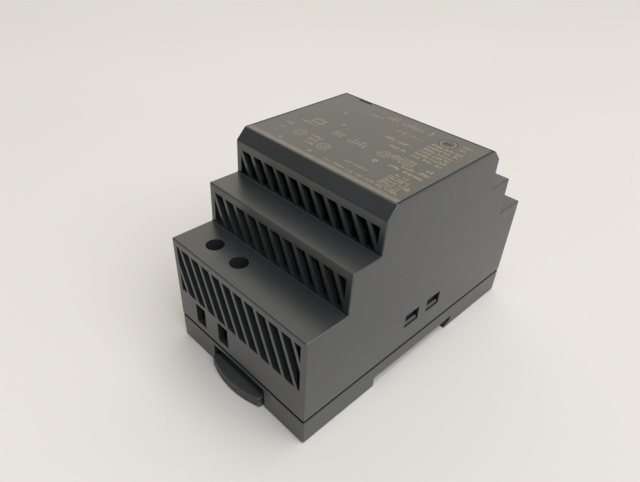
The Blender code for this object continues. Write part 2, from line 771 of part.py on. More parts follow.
def add_contact_slots(bm):
    """Slots in the main board for the contacts' legs."""
    half_x = CONTACT_HALF_WIDTH + CLEARANCE
    for x, y in terminal_places():
        inwards = -math.copysign(1.0, y)
        ends = sorted(y + inwards * leg for leg in CONTACT_LEG_Y)
        low = (x - half_x, ends[0] - CLEARANCE, BOARD_BOTTOM_Z - 1 * MM)
        add_box(bm, low, (x + half_x, ends[1] + CLEARANCE, BOARD_TOP_Z + 1 * MM))


def build_boards():
    half_x, half_y = BOARD_HALF
    bm = bmesh.new()
    add_box(bm, (-half_x, -half_y, BOARD_BOTTOM_Z), (half_x, half_y, BOARD_TOP_Z))
    board = make_object("main_board", bm, board_laminate())
    cut(board, "contact_slots", add_contact_slots)

    bm = bmesh.new()
    near_y, far_y = CONTROL_BOARD_Y
    add_box(bm, (-20 * MM, near_y, PARTS_Z), (20 * MM, far_y, 50.0 * MM))
    make_object("control_board", bm, board_laminate())

    bm = bmesh.new()
    add_box(bm, (-21.4 * MM, -40.1 * MM, SHEET_Z[0]), (21.4 * MM, 40.1 * MM, SHEET_Z[1]))
    sheet = material("insulation_film", (0.75, 0.74, 0.68), 0.40)
    make_object("insulation_sheet", bm, sheet)


# ---------------------------------------------------------------- front face controls


def build_trimmer():
    x, y = TRIMMER_PLACE
    half = TRIMMER_BODY_HALF
    blue = material("trimmer_blue", (0.02, 0.10, 0.35), 0.45)
    bm = bmesh.new()
    add_box(bm, (-half, -half, TRIMMER_BODY_Z[0]), (half, half, TRIMMER_BODY_Z[1]))
    body = make_object("trimmer_body", bm, blue, (x, y, 0))
    round_edges(body, 0.3 * MM, 1)

    low, high = TRIMMER_ROTOR_Z
    edge = 0.2 * MM
    radius = TRIMMER_ROTOR_RADIUS
    profile = [(0, low), (radius, low), (radius, high - edge), (radius - edge, high), (0, high)]
    grey = material("rotor_grey", (0.12, 0.125, 0.125), 0.45)
    bm = bmesh.new()
    add_turned(bm, profile, segments=ROUND_SEGMENTS)
    rotor = make_object("trimmer_rotor", bm, grey, (x, y, 0), smooth=True)
    cut(rotor, "trimmer_slot", add_driver_slot, 0.75 * radius, high, 0.8 * MM, 0.6 * MM)


def build_status_led():
    """A rectangular green light that stands on the control board behind its window."""
    near_y = CONTROL_BOARD_Y[1] + CLEARANCE
    half = 1.9 * MM
    green = material("led_green", (0.04, 0.30, 0.06), 0.30)
    bm = bmesh.new()
    add_box(bm, (-half, near_y, 46.5 * MM), (half, near_y + 2.0 * MM, 53.6 * MM))
    led = make_object("status_led", bm, green, (LED_X, 0, 0))
    round_edges(led, 0.3 * MM, 2)


# ---------------------------------------------------------------- components on the boards


def build_can(name, finish, radius, height, x, y):
    """An upright electrolytic capacitor with a rolled groove near its foot."""
    low, high = PARTS_Z, PARTS_Z + height
    edge = 0.8 * MM
    groove = 0.5 * MM
    profile = [
        (0, low), (radius, low), (radius, low + 2.0 * MM), (radius - groove, low + 2.5 * MM),
        (radius, low + 3.0 * MM), (radius, high - edge), (radius - edge, high), (0, high),
    ]
    bm = bmesh.new()
    add_turned(bm, profile)
    make_object(name, bm, finish, (x, y, 0), smooth=True)


def build_disc(name, finish, radius, thickness, x, y):
    """A round disc component that stands on edge, facing X, on a short foot."""
    centre_z = PARTS_Z + radius + 1.5 * MM
    corners = SMALL_SEGMENTS
    outline = []
    for step in range(corners):
        angle = 2 * math.pi * (step + 0.5) / corners
        outline.append((radius * math.sin(angle), centre_z + radius * math.cos(angle)))
    bm = bmesh.new()
    add_prism(bm, outline, "X", -thickness / 2, thickness / 2)
    disc = make_object(name, bm, finish, (x, y, 0))
    round_edges(disc, 0.7 * MM, 1)
    foot_low = (-0.5 * MM, -0.6 * radius, PARTS_Z)
    foot_high = (0.5 * MM, 0.6 * radius, centre_z)
    grow(disc, f"{name}_leads", add_box, foot_low, foot_high)


def build_brick(name, finish, low, high, edge=0.3 * MM):
    """A moulded box-shaped component."""
    bm = bmesh.new()
    add_box(bm, low, high)
    brick = make_object(name, bm, finish)
    round_edges(brick, edge, 1)


def build_input_parts():
    """Fuse, surge disc, inrush disc, filter capacitor and rectifier, behind the input end."""
    fuse_radius = 4.1 * MM
    dark_red = material("fuse_red", (0.20, 0.02, 0.015), 0.45)
    build_can("fuse", dark_red, fuse_radius, 8.0 * MM, 5.2 * MM, -37.8 * MM)
    surge_blue = material("disc_blue", (0.03, 0.10, 0.30), 0.50)
    build_disc("varistor", surge_blue, 5.0 * MM, 3.6 * MM, 12.4 * MM, -36.8 * MM)
    inrush_green = material("disc_green", (0.03, 0.12, 0.05), 0.55)
    build_disc("inrush_thermistor", inrush_green, 4.5 * MM, 4.0 * MM, 19.0 * MM, -36.8 * MM)
    yellow = material("film_yellow", (0.62, 0.45, 0.05), 0.45)
    film_low = (2.0 * MM, -31.0 * MM, PARTS_Z)
    build_brick("x_capacitor", yellow, film_low, (20.0 * MM, -24.0 * MM, PARTS_Z + 14.0 * MM))
    bridge_low = (3.5 * MM, -22.3 * MM, PARTS_Z)
    bridge_high = (18.5 * MM, -18.7 * MM, PARTS_Z + 11.0 * MM)
    build_brick("bridge_rectifier", component_plastic(), bridge_low, bridge_high)
    y_blue = material("disc_sky_blue", (0.05, 0.20, 0.38), 0.50)
    build_disc("y_capacitor", y_blue, 4.5 * MM, 3.4 * MM, 18.4 * MM, 10.0 * MM)


def ring_section(inner, outer, low, high):
    """The four corners (radius, height) of a ring's rectangular cross-section."""
    return [(inner, low), (outer, low), (outer, high), (inner, high)]


def add_ring(bm, section, segments):
    """A full ring with the given cross-section, about a vertical axis."""
    rings = []
    for step in range(segments):
        angle = 2 * math.pi * step / segments
        rings.append([
            bm.verts.new((r * math.cos(angle), r * math.sin(angle), z)) for r, z in section
        ])
    for step, ring in enumerate(rings):
        following = rings[(step + 1) % segments]
        for corner in range(len(section)):
            after = (corner + 1) % len(section)
            bm.faces.new((ring[corner], ring[after], following[after], following[corner]))


def add_wound_sleeve(bm, outer_section, inner_section, start, sweep, steps):
    """A hollow sleeve swept part of the way round a ring, as a winding round its core."""
    stations = []
    for step in range(steps + 1):
        angle = start + sweep * step / steps
        turned = [
            [bm.verts.new((r * math.cos(angle), r * math.sin(angle), z)) for r, z in section]
            for section in (outer_section, inner_section)
        ]
        stations.append(turned)
    corners = range(len(outer_section))
    for station, following in zip(stations, stations[1:]):
        for loop, next_loop in zip(station, following):
            for corner in corners:
                after = (corner + 1) % len(corners)
                bm.faces.new((loop[corner], loop[after], next_loop[after], next_loop[corner]))
    for outer_loop, inner_loop in (stations[0], stations[-1]):
        for corner in corners:
            after = (corner + 1) % len(corners)
            bm.faces.new((outer_loop[corner], outer_loop[after], inner_loop[after], inner_loop[corner]))


def build_line_choke():
    """A common-mode choke: a ferrite ring with a winding on each half."""
    place = (-12.5 * MM, -24.0 * MM, 0.0)
    inner, outer = 3.6 * MM, 6.4 * MM
    low, high = PARTS_Z + 1.8 * MM, PARTS_Z + 7.8 * MM
    bm = bmesh.new()
    add_ring(bm, ring_section(inner, outer, low, high), ROUND_SEGMENTS)
    make_object("line_choke_core", bm, ferrite(), place, smooth=True)

    gap, wire = CLEARANCE, 1.1 * MM
    inside = ring_section(inner - gap, outer + gap, low - gap, high + gap)
    reach = gap + wire
    outside = ring_section(inner - reach, outer + reach, low - reach, high + reach)
    sweep = math.radians(140)
    for number, middle in ((1, 0.0), (2, math.pi)):
        bm = bmesh.new()
        add_wound_sleeve(bm, outside, inside, middle - sweep / 2, sweep, 9)
        make_object(f"line_choke_winding_{number}", bm, copper_wire(), place, smooth=True)


def build_transformer():
    """An E-core transformer: core with two windows, and a wound bobbin on its middle leg."""
    x0, x1 = -4.0 * MM, 15.0 * MM
    y0, y1 = -14.0 * MM, 12.0 * MM
    centre_x = (x0 + x1) / 2
    core_y0, core_y1 = y0 + 4 * MM, y1 - 4 * MM
    low, high = PARTS_Z + 2 * MM, PARTS_Z + 25 * MM
    yoke, leg_half = 4.0 * MM, 3.5 * MM

    def add_windows(bm):
        for side in (-1, 1):
            xs = sorted((centre_x + side * leg_half, centre_x + side * 7.0 * MM))
            low_corner = (xs[0], core_y0 - 1 * MM, low + yoke)
            add_box(bm, low_corner, (xs[1], core_y1 + 1 * MM, high - yoke))

    bm = bmesh.new()
    add_box(bm, (x0, core_y0, low), (x1, core_y1, high))
    core = make_object("transformer_core", bm, ferrite())
    cut(core, "core_windows", add_windows)

    tape = material("winding_tape", (0.60, 0.45, 0.04), 0.40)
    hole_x = leg_half + CLEARANCE
    winding_x = 7.0 * MM - CLEARANCE
    winding_low, winding_high = low + yoke + CLEARANCE, high - yoke - CLEARANCE
    bm = bmesh.new()
    add_box(bm, (centre_x - winding_x, y0, winding_low), (centre_x + winding_x, y1, winding_high))
    winding = make_object("transformer_winding", bm, tape)
    round_edges(winding, 1.2 * MM, 3)
    leg_low = (centre_x - hole_x, core_y0 - CLEARANCE, low)
    leg_high = (centre_x + hole_x, core_y1 + CLEARANCE, high)
    cut(winding, "winding_bore", add_box, leg_low, leg_high)

    pins_top = low - CLEARANCE
    foot_low = (x0 + 2 * MM, y0, PARTS_Z)
    foot_high = (x1 - 2 * MM, y1, pins_top)
    build_brick("transformer_base", component_plastic(), foot_low, foot_high)


def build_power_device(name, side, plate_x, y, plate_y, plate_top):
    """A transistor or diode screwed to an upright aluminium plate near a side wall."""
    thickness = 1.6 * MM
    inner = plate_x
    outer = plate_x + side * thickness
    heat_name, screw_name = f"{name}_heat_sink", f"{name}_screw"
    hole_z = PARTS_Z + 18.0 * MM
    hole_radius = 1.8 * MM

    def add_hole(bm, radius, start, end):
        circle = [2 * math.pi * step / SMALL_SEGMENTS for step in range(SMALL_SEGMENTS)]
        outline = [(y + radius * math.sin(a), hole_z + radius * math.cos(a)) for a in circle]
        add_prism(bm, outline, "X", *sorted((start, end)))

    xs = sorted((inner, outer))
    bm = bmesh.new()
    add_box(bm, (xs[0], plate_y[0], PARTS_Z), (xs[1], plate_y[1], plate_top))
    plate = make_object(heat_name, bm, aluminium())
    cut(plate, f"{name}_plate_hole", add_hole, hole_radius, inner - side * MM, outer + side * MM)

    back = inner - side * CLEARANCE
    tab = back - side * 1.3 * MM
    body = back - side * 4.4 * MM
    xs = sorted((back, body))
    bm = bmesh.new()
    add_box(bm, (xs[0], y - 5 * MM, PARTS_Z + 5 * MM), (xs[1], y + 5 * MM, PARTS_Z + 14 * MM))
    device = make_object(name, bm, component_plastic())
    xs = sorted((back, tab))
    tab_low = (xs[0], y - 5 * MM, PARTS_Z + 13 * MM)
    grow(device, f"{name}_tab", add_box, tab_low, (xs[1], y + 5 * MM, PARTS_Z + 21.5 * MM))
    cut(device, f"{name}_tab_hole", add_hole, hole_radius, back + side * MM, body - side * MM)

    def add_legs(legs_bm):
        mid_x = (back + body) / 2
        for offset in (-2.54 * MM, 0.0, 2.54 * MM):
            low = (mid_x - 0.3 * MM, y + offset - 0.4 * MM, PARTS_Z)
            add_box(legs_bm, low, (mid_x + 0.3 * MM, y + offset + 0.4 * MM, PARTS_Z + 6 * MM))

    grow(device, f"{name}_legs", add_legs)

    bm = bmesh.new()
    add_hole(bm, hole_radius - CLEARANCE, tab - side * MM, outer + side * 0.4 * MM)
    screw = make_object(screw_name, bm, plated_steel())
    head_near = tab - side * CLEARANCE
    head_far = head_near - side * 1.6 * MM
    grow(screw, f"{screw_name}_head", add_hole, 2.7 * MM, head_near, head_far)


def build_power_parts():
    """Everything from the bulk capacitor to the output capacitors."""
    sleeve = material("capacitor_sleeve", (0.02, 0.022, 0.03), 0.35)
    build_can("bulk_capacitor", sleeve, 8.0 * MM, 30.0 * MM, -13.0 * MM, -6.0 * MM)
    build_transformer()
    primary_y = (-22.0 * MM, -4.5 * MM)
    build_power_device("switch_transistor", 1, 20.8 * MM, -12.8 * MM, primary_y, PARTS_Z + 29 * MM)
    secondary_y = (3.0 * MM, 16.5 * MM)
    build_power_device("output_diode", -1, -20.8 * MM, 10.0 * MM, secondary_y, PARTS_Z + 27 * MM)
    drum = material("inductor_sleeve", (0.03, 0.03, 0.035), 0.50)
    build_can("output_inductor", drum, 4.5 * MM, 12.0 * MM, -9.2 * MM, 9.5 * MM)
    for number, x in enumerate((-13.0 * MM, 0.0, 13.0 * MM), start=1):
        build_can(f"output_capacitor_{number}", sleeve, 5.0 * MM, 20.0 * MM, x, 26.0 * MM)


def build_control_parts():
    opto_low = (16.2 * MM, -3.2 * MM, PARTS_Z)
    opto_high = (20.4 * MM, 3.2 * MM, PARTS_Z + 3.6 * MM)
    build_brick("optocoupler", component_plastic(), opto_low, opto_high)
    chip_y = CONTROL_BOARD_Y[0] - CLEARANCE
    chip_low = (-8.0 * MM, chip_y - 1.5 * MM, 22.0 * MM)
    build_brick("controller_chip", component_plastic(), chip_low, (-3.0 * MM, chip_y, 26.0 * MM))


def main():
    clear_scene()
    build_top_cover()
    build_base_shell()
    build_rail_latch()
    build_latch_spring()
    build_boards()
    build_terminals()
    build_trimmer()
    build_status_led()
    build_input_parts()
    build_line_choke()
    build_power_parts()
    build_control_parts()


main()
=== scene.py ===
import json
import math
import random

import bmesh
import bpy
from mathutils import Matrix, Vector


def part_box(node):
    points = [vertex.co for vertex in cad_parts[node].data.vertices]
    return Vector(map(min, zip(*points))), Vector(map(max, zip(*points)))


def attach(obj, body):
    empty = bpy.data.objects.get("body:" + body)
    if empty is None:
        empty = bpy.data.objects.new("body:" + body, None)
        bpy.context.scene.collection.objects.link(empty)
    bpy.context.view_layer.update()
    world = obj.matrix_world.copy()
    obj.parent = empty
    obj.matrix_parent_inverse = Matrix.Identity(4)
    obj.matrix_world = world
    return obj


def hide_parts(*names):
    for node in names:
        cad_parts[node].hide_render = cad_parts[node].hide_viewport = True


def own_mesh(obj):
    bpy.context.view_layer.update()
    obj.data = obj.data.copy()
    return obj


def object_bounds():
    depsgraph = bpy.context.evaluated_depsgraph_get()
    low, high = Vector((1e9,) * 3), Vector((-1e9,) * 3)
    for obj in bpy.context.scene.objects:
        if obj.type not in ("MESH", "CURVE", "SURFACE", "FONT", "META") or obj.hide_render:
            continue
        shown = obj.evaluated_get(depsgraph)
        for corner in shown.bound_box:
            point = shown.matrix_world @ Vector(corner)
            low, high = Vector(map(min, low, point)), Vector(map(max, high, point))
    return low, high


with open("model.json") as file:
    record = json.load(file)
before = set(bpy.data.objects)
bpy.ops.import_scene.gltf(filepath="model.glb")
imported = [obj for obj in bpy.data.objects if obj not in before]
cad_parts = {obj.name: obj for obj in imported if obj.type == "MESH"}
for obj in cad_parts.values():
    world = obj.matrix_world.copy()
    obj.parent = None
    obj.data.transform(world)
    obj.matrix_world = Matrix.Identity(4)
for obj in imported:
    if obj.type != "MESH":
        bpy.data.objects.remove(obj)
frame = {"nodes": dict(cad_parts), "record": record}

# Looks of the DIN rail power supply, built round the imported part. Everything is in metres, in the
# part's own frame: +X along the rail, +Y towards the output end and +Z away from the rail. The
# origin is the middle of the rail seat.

CAD_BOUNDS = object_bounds()
MM = 0.001

# The stepped housing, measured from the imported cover. Each tier's half length is given at its foot
# and at its tread, and the upper tiers sit a little towards the output end.
COVER_LOW, COVER_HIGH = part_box("top_cover")
WIDTH = COVER_HIGH.x - COVER_LOW.x
LENGTH = COVER_HIGH.y - COVER_LOW.y
COVER_BOTTOM = COVER_LOW.z + 0.12 * MM
TOP_Z = COVER_HIGH.z
TREAD_1_Z = TOP_Z - 24.2 * MM
TREAD_2_Z = TOP_Z - 12.3 * MM
CHAMFER_Z = TOP_Z - 3.0 * MM
UPPER_SHIFT = 0.8 * MM
TIER_1_HALF = (LENGTH / 2, LENGTH / 2 - 0.3 * MM)
TIER_2_HALF = (32.6 * MM, 32.2 * MM)
TIER_3_HALF = (22.9 * MM, 22.6 * MM)
TOP_HALF = 19.6 * MM
WALL = 1.7 * MM
EDGE_RADIUS = 0.34 * MM
SLOT_EDGE = 0.08 * MM
BASE_EDGE = 0.14 * MM

# Slanted slots: lowest and highest point, pitch, place of one slot, and lean.
SLOT_WIDTH = 3.25 * MM
SMALLEST_SLOT_CORNER = 0.6 * MM
VENT_HALF = 24.4 * MM
WALL_VENT = (15.5 * MM, 30.3 * MM, 4.45 * MM, 0.06 * MM, 5.9 * MM)
RISER_1_VENT = (32.4 * MM, 41.9 * MM, 4.55 * MM, -1.3 * MM, 4.6 * MM)
RISER_2_VENT = (44.3 * MM, 51.2 * MM, 4.55 * MM, -1.1 * MM, 3.8 * MM)

# Openings
DRIVER_HOLE_RADIUS = 2.5 * MM
DRIVER_TUBE_RADIUS = 3.4 * MM
DRIVER_TUBE_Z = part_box("input_terminal_block")[1].z + 0.8 * MM
WIRE_HOLE_HALF = 2.1 * MM
WIRE_HOLE_Z = (7.6 * MM, 14.2 * MM)
SNAP_Y = (-4.65 * MM, 5.05 * MM)
SNAP_HALF = 2.95 * MM
SNAP_Z = (12.4 * MM, 16.9 * MM)
HOOK_FACE_X = 25.2 * MM
HOOK_STEP_Z = 13.8 * MM
MOUTH_TOP_Z = 3.5 * MM
MOUTH_WALL_Y = -43.2 * MM

# Trimmer dial and status light
TRIMMER_HOLE_RADIUS = 2.5 * MM
DIAL_RADIUS = 2.45 * MM
DIAL_SINK = 0.04 * MM
DIAL_EDGE = 0.04 * MM
DIAL_SLOT_HALF = (1.05 * MM, 0.12 * MM)
DIAL_SLOT_DEPTH = 0.15 * MM
LED_WINDOW_HALF = 2.4 * MM
LED_WINDOW_Y = 18.7 * MM
LED_WINDOW_Z = 53.2 * MM
LENS_GAP = 0.08 * MM
LENS_SINK = 0.06 * MM
LENS_EDGE = 0.15 * MM

# Boxes for painted shade in the plastic, as lowest and highest |x|, |y| and |z|: the ledge at the
# joint between cover and base and the deep part of the snap windows are painted dark, while the
# windows' rims are kept free of painted shade. NO_LOW and NO_HIGH leave a direction open.
NO_LOW, NO_HIGH = -1, 1
SHADED_SEAM = ((NO_LOW, NO_LOW, 4.70 * MM), (NO_HIGH, NO_HIGH, 5.20 * MM))
LIT_WINDOW_RIM = ((HOOK_FACE_X, NO_LOW, 12.2 * MM), (NO_HIGH, 9 * MM, 17.2 * MM))
SHADED_WINDOW_DEPTH = ((20 * MM, NO_LOW, 11 * MM), (HOOK_FACE_X + 0.05 * MM, 9 * MM, 17.4 * MM))

# Finger lip of the latch
LIP_LOW, LIP_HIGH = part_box("rail_latch")
LIP_HEIGHT = 3.4 * MM
LIP_SAG = 1.5 * MM
LIP_CORNER = 1.2 * MM
LIP_BACK_Y = -44.7 * MM
LIP_BANDS = 3
GROOVE_WIDTH = 0.26 * MM
GROOVE_DEPTH = 0.20 * MM
GROOVE_SLOPE = 0.07 * MM

# Latch spring
SPRING_WIRE_RADIUS = 0.2 * MM
SPRING_TURNS = 8
SPRING_END_CLOSING = 0.035

# Print, and painted light and shade laid like print: flat marks in millimetres on their face, lifted
# just clear of it. BORDER is the width of the painted dark border.
PRINT_THICKNESS = 0.012 * MM
PRINT_LIFT = 0.002 * MM
BORDER = 0.45 * MM

# Colours that more than one material uses, and how the plastic shines
HOUSING_COLOUR = (0.0385, 0.0430, 0.0462)
PRINT_COLOUR = (0.380, 0.290, 0.155)
SHEEN_STRIP_COLOUR = (0.250, 0.214, 0.155)
HOUSING_SHEEN = 0.72
PLASTIC_IOR = 1.70
SHADED_SHARE = 0.12

# Camera, worked out from the housing's corners.
CAMERA_PLACE = Vector((81.49, -98.93, 115.14)) * MM
CAMERA_AZIMUTH = math.radians(44.08)
CAMERA_ELEVATION = math.radians(37.81)
CAMERA_ROLL = math.radians(2.71)
CAMERA_LENS = 29.78
CAMERA_SHIFT = 0.031

# Light: world strengths are relative, the lamp's power is in watts. A glow is a direction, the
# cosines where it starts and is full, and its strength.
AMBIENT = 0.10
BACKDROP = 0.74
WALL_GLOW = ((-0.58, 0.60, 0.52), 0.55, 0.98, 0.78)
SIDE_GLOW = ((0.80, 0.30, 0.20), 0.20, 1.0, 0.60)
WALL_COLOUR = (1.0, 0.95, 0.80)
ROOM_COLOUR = (1.0, 0.985, 0.955)
LAMP_COLOUR = (1.0, 0.978, 0.955)
LAMP_PLACE = (0.95, -0.15, 2.2)
LAMP_SIZE = (2.8, 2.8)
LAMP_POWER = 61.0
LAMP_TARGET = Vector((0, 0, 0.02))
FLOOR_HALF = 3.0
FLOOR_GAP = 0.02 * MM

# Mesh clean-up: faces within FLAT_ANGLE are one face, and edges below SMOOTH_ANGLE shade smooth.
FLAT_ANGLE = math.radians(0.4)
SMOOTH_ANGLE = math.radians(40)
WELD = 0.002 * MM

# Which coordinates of a point an outline's two numbers and the distance along its axis are.
AXES = {"X": (1, 2, 0), "Y": (0, 2, 1), "Z": (0, 1, 2)}


# ---------------------------------------------------------------- places read from the frame


def middle(node):
    """The middle of a CAD node's box."""
    low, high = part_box(node)
    return (low + high) / 2


def named(prefix):
    """The CAD nodes whose names start with a prefix, in order."""
    return sorted(name for name in frame["nodes"] if name.startswith(prefix))


def terminal_places():
    """The (x, y) of every terminal screw."""
    screws = named("input_screw_") + named("output_screw_")
    return [(middle(name).x, middle(name).y) for name in screws]


TRIMMER_PLACE = (middle("trimmer_rotor").x, middle("trimmer_rotor").y)
LED_X = middle("status_led").x


# ---------------------------------------------------------------- material nodes


class Nodes:
    """Short calls for building a node tree."""

    def __init__(self, tree):
        self.tree = tree
        self.place = None

    def node(self, kind, **settings):
        made = self.tree.nodes.new(kind)
        for key, value in settings.items():
            setattr(made, key, value)
        return made

    def link(self, source, target):
        self.tree.links.new(source, target)

    def feed(self, socket, value):
        """Links an input to another node's socket, or sets it to a plain value."""
        if isinstance(value, bpy.types.NodeSocket):
            self.link(value, socket)
        else:
            socket.default_value = value

    def put(self, node, **inputs):
        """Feeds a node's inputs by name, with _ for a blank."""
        for key, value in inputs.items():
            self.feed(node.inputs[key.replace("_", " ")], value)

    def millimetres(self, stretch=(1.0, 1.0, 1.0)):
        """The object's own coordinates in millimetres, stretched if asked."""
        if self.place is None:
            self.place = self.node("ShaderNodeTexCoord").outputs["Object"]
        scaled = self.node("ShaderNodeVectorMath", operation="MULTIPLY")
        self.link(self.place, scaled.inputs[0])
        scaled.inputs[1].default_value = [s / MM for s in stretch]
        return scaled.outputs[0]

    def noise(self, per_mm, detail=3.0, roughness=0.55, stretch=(1.0, 1.0, 1.0)):
        node = self.node("ShaderNodeTexNoise")
        self.put(node, Vector=self.millimetres(stretch), Scale=per_mm)
        self.put(node, Detail=detail, Roughness=roughness)
        return node.outputs["Fac"]

    def cells(self, per_mm, feature="F1"):
        node = self.node("ShaderNodeTexVoronoi", feature=feature)
        self.put(node, Vector=self.millimetres(), Scale=per_mm)
        return node.outputs["Distance"]

    def remap(self, value, low, high, to_low=0.0, to_high=1.0):
        node = self.node("ShaderNodeMapRange")
        self.put(node, Value=value, From_Min=low, From_Max=high, To_Min=to_low, To_Max=to_high)
        return node.outputs["Result"]

    def math(self, operation, first, second):
        node = self.node("ShaderNodeMath", operation=operation)
        self.feed(node.inputs[0], first)
        self.feed(node.inputs[1], second)
        return node.outputs[0]

    def mix(self, factor, first, second):
        """A colour between two colours or colour sockets."""
        node = self.node("ShaderNodeMix", data_type="RGBA")
        self.feed(node.inputs[0], factor)
        for index, colour in ((6, first), (7, second)):
            plain = not isinstance(colour, bpy.types.NodeSocket)
            self.feed(node.inputs[index], (*colour, 1.0) if plain else colour)
        return node.outputs[2]


class Shader(Nodes):
    """Short calls for building one node material."""

    def __init__(self, name):
        self.material = bpy.data.materials.new(name)
        self.material.use_nodes = True
        super().__init__(self.material.node_tree)
        self.principled = self.tree.nodes["Principled BSDF"]

    def edges(self, radius):
        """1 on rounded and sharp edges and 0 on flat ground, from how far the normals turn."""
        bevel = self.node("ShaderNodeBevel", samples=6)
        bevel.inputs["Radius"].default_value = radius
        geometry = self.node("ShaderNodeNewGeometry")
        dot = self.node("ShaderNodeVectorMath", operation="DOT_PRODUCT")
        self.link(bevel.outputs[0], dot.inputs[0])
        self.link(geometry.outputs["True Normal"], dot.inputs[1])
        return self.remap(dot.outputs["Value"], 0.995, 0.80)

    def openness(self, reach):
        """1 on open faces, falling towards 0 deep inside slots and corners."""
        shade = self.node("ShaderNodeAmbientOcclusion", samples=8, only_local=True)
        shade.inputs["Distance"].default_value = reach
        return self.remap(shade.outputs["AO"], 0.24, 0.50)

    def within(self, low, high):
        """1 where the sizes of x, y and z all lie between two corners, and 0 elsewhere."""
        mirrored = self.node("ShaderNodeVectorMath", operation="ABSOLUTE")
        self.link(self.millimetres(), mirrored.inputs[0])
        split = self.node("ShaderNodeSeparateXYZ")
        self.link(mirrored.outputs[0], split.inputs[0])
        share = 1.0
        for socket, start, end in zip(split.outputs, low, high):
            share = self.math("MULTIPLY", share, self.math("GREATER_THAN", socket, start / MM))
            share = self.math("MULTIPLY", share, self.math("LESS_THAN", socket, end / MM))
        return share

    def upward(self):
        """1 on faces that look up and 0 on the rest."""
        geometry = self.node("ShaderNodeNewGeometry")
        split = self.node("ShaderNodeSeparateXYZ")
        self.link(geometry.outputs["True Normal"], split.inputs[0])
        return self.remap(split.outputs["Z"], 0.6, 0.95)

    def bump(self, height, distance, strength=1.0, below=None):
        """A normal from a height, on top of an earlier normal if one is given."""
        node = self.node("ShaderNodeBump")
        self.put(node, Height=height, Distance=distance, Strength=strength)
        if below is not None:
            self.link(below, node.inputs["Normal"])
        return node.outputs[0]

    def finish(self, **inputs):
        """Feeds the surface shader's inputs and gives the material."""
        self.put(self.principled, **inputs)
        return self.material


def shade(colour, share, lift=0.0):
    """A colour made darker or lighter."""
    return [c * share + lift for c in colour]


def moulded_plastic(name, colour, roughness):
    """Fine spark-eroded plastic: grain, faint flow marks, paler edges of wear and painted highlight,
    a little dust, and painted shade with less sheen in slots, corners, the cover joint and the snap
    windows.
    """
    shader = Shader(name)
    grit = shader.noise(3.2, 4.0, 0.65)
    pits = shader.cells(4.5)
    flow = shader.noise(0.05, 2.0, 0.5, (1.0, 0.45, 1.0))
    smudge = shader.noise(0.12, 4.0, 0.6)
    base = shader.mix(shader.remap(flow, 0.35, 0.65), shade(colour, 0.93), shade(colour, 1.08))
    speckled = shader.mix(shader.remap(grit, 0.42, 0.62, 0.0, 0.35), base, shade(colour, 1.35))
    # Paler edges: partly wear, partly painted highlight.
    wear_and_painted_highlight = shader.math("MULTIPLY", shader.edges(0.35 * MM), shader.remap(smudge, 0.3, 0.7, 0.35, 1.0))
    edged = shader.mix(shader.math("MULTIPLY", wear_and_painted_highlight, 0.30), speckled, shade(colour, 2.4, 0.01))
    specks = shader.remap(shader.cells(0.9), 0.075, 0.045)
    settled = shader.math("MULTIPLY", specks, shader.upward())
    dusty = shader.mix(shader.math("MULTIPLY", settled, 0.175), edged, (0.32, 0.31, 0.29))
    rough = shader.math("ADD", shader.remap(smudge, 0.35, 0.7, -0.012, 0.020), roughness)
    rough = shader.math("ADD", rough, shader.remap(pits, 0.0, 0.5, 0.05, -0.02))
    coarse = shader.bump(grit, 0.010 * MM, 0.8)
    fine = shader.bump(pits, 0.006 * MM, 0.5, coarse)
    # Painted shade: colour falls towards SHADED_SHARE and sheen towards 0.05 deep in slots and
    # corners, on the ledge at the cover joint and deep in the snap windows; the windows' rims keep
    # full colour and sheen.
    lit = shader.math("MAXIMUM", shader.openness(4 * MM), shader.within(*LIT_WINDOW_RIM))
    for low, high in (SHADED_SEAM, SHADED_WINDOW_DEPTH):
        kept = shader.remap(shader.within(low, high), 0.0, 1.0, 1.0, SHADED_SHARE)
        lit = shader.math("MULTIPLY", lit, kept)
    shaded = shader.mix(lit, shade(colour, SHADED_SHARE), dusty)
    sheen = shader.remap(lit, 0.0, 1.0, 0.05, HOUSING_SHEEN)
    shader.put(shader.principled, Specular_IOR_Level=sheen, IOR=PLASTIC_IOR)
    return shader.finish(Base_Color=shaded, Roughness=rough, Normal=fine)


def bare_metal(name, colour, roughness, stretch=(1.0, 1.0, 0.12)):
    """Rolled or plated metal with drawn lines, cloudy tone and brighter edges."""
    shader = Shader(name)
    lines = shader.noise(9.0, 3.0, 0.6, stretch)
    cloud = shader.noise(0.5, 3.0)
    base = shader.mix(shader.remap(cloud, 0.3, 0.7), shade(colour, 0.82), colour)
    streaked = shader.mix(shader.remap(lines, 0.3, 0.7, 0.0, 0.35), base, shade(colour, 0.7))
    # Brighter edges: partly wear, partly painted highlight.
    wear_and_painted_highlight = shader.math("MULTIPLY", shader.edges(0.12 * MM), 0.5)
    edged = shader.mix(wear_and_painted_highlight, streaked, [min(1.0, c) for c in shade(colour, 1.25)])
    rough = shader.remap(lines, 0.2, 0.8, roughness - 0.07, roughness + 0.12)
    normal = shader.bump(lines, 0.004 * MM, 0.6)
    return shader.finish(Base_Color=edged, Roughness=rough, Metallic=1.0, Normal=normal)


def board_laminate():
    """Solder mask over glass weave, with a hint of the copper below."""
    shader = Shader("visual_board_laminate")
    threads = []
    for direction in "XY":
        weave = shader.node("ShaderNodeTexWave", bands_direction=direction)
        shader.put(weave, Vector=shader.millimetres(), Scale=0.9, Distortion=0.6, Detail=1.0)
        threads.append(weave.outputs["Fac"])
    cloth = shader.math("ADD", *threads)
    copper = shader.remap(shader.cells(0.16, "DISTANCE_TO_EDGE"), 0.06, 0.09)
    base = shader.mix(copper, (0.028, 0.105, 0.045), (0.045, 0.165, 0.070))
    toned = shader.mix(shader.remap(cloth, 0.4, 1.6, 0.0, 0.3), base, (0.02, 0.075, 0.035))
    rough = shader.remap(shader.noise(0.6), 0.3, 0.7, 0.28, 0.45)
    normal = shader.bump(copper, 0.03 * MM, 0.7)
    return shader.finish(Base_Color=toned, Roughness=rough, Normal=normal, Coat_Weight=0.25)


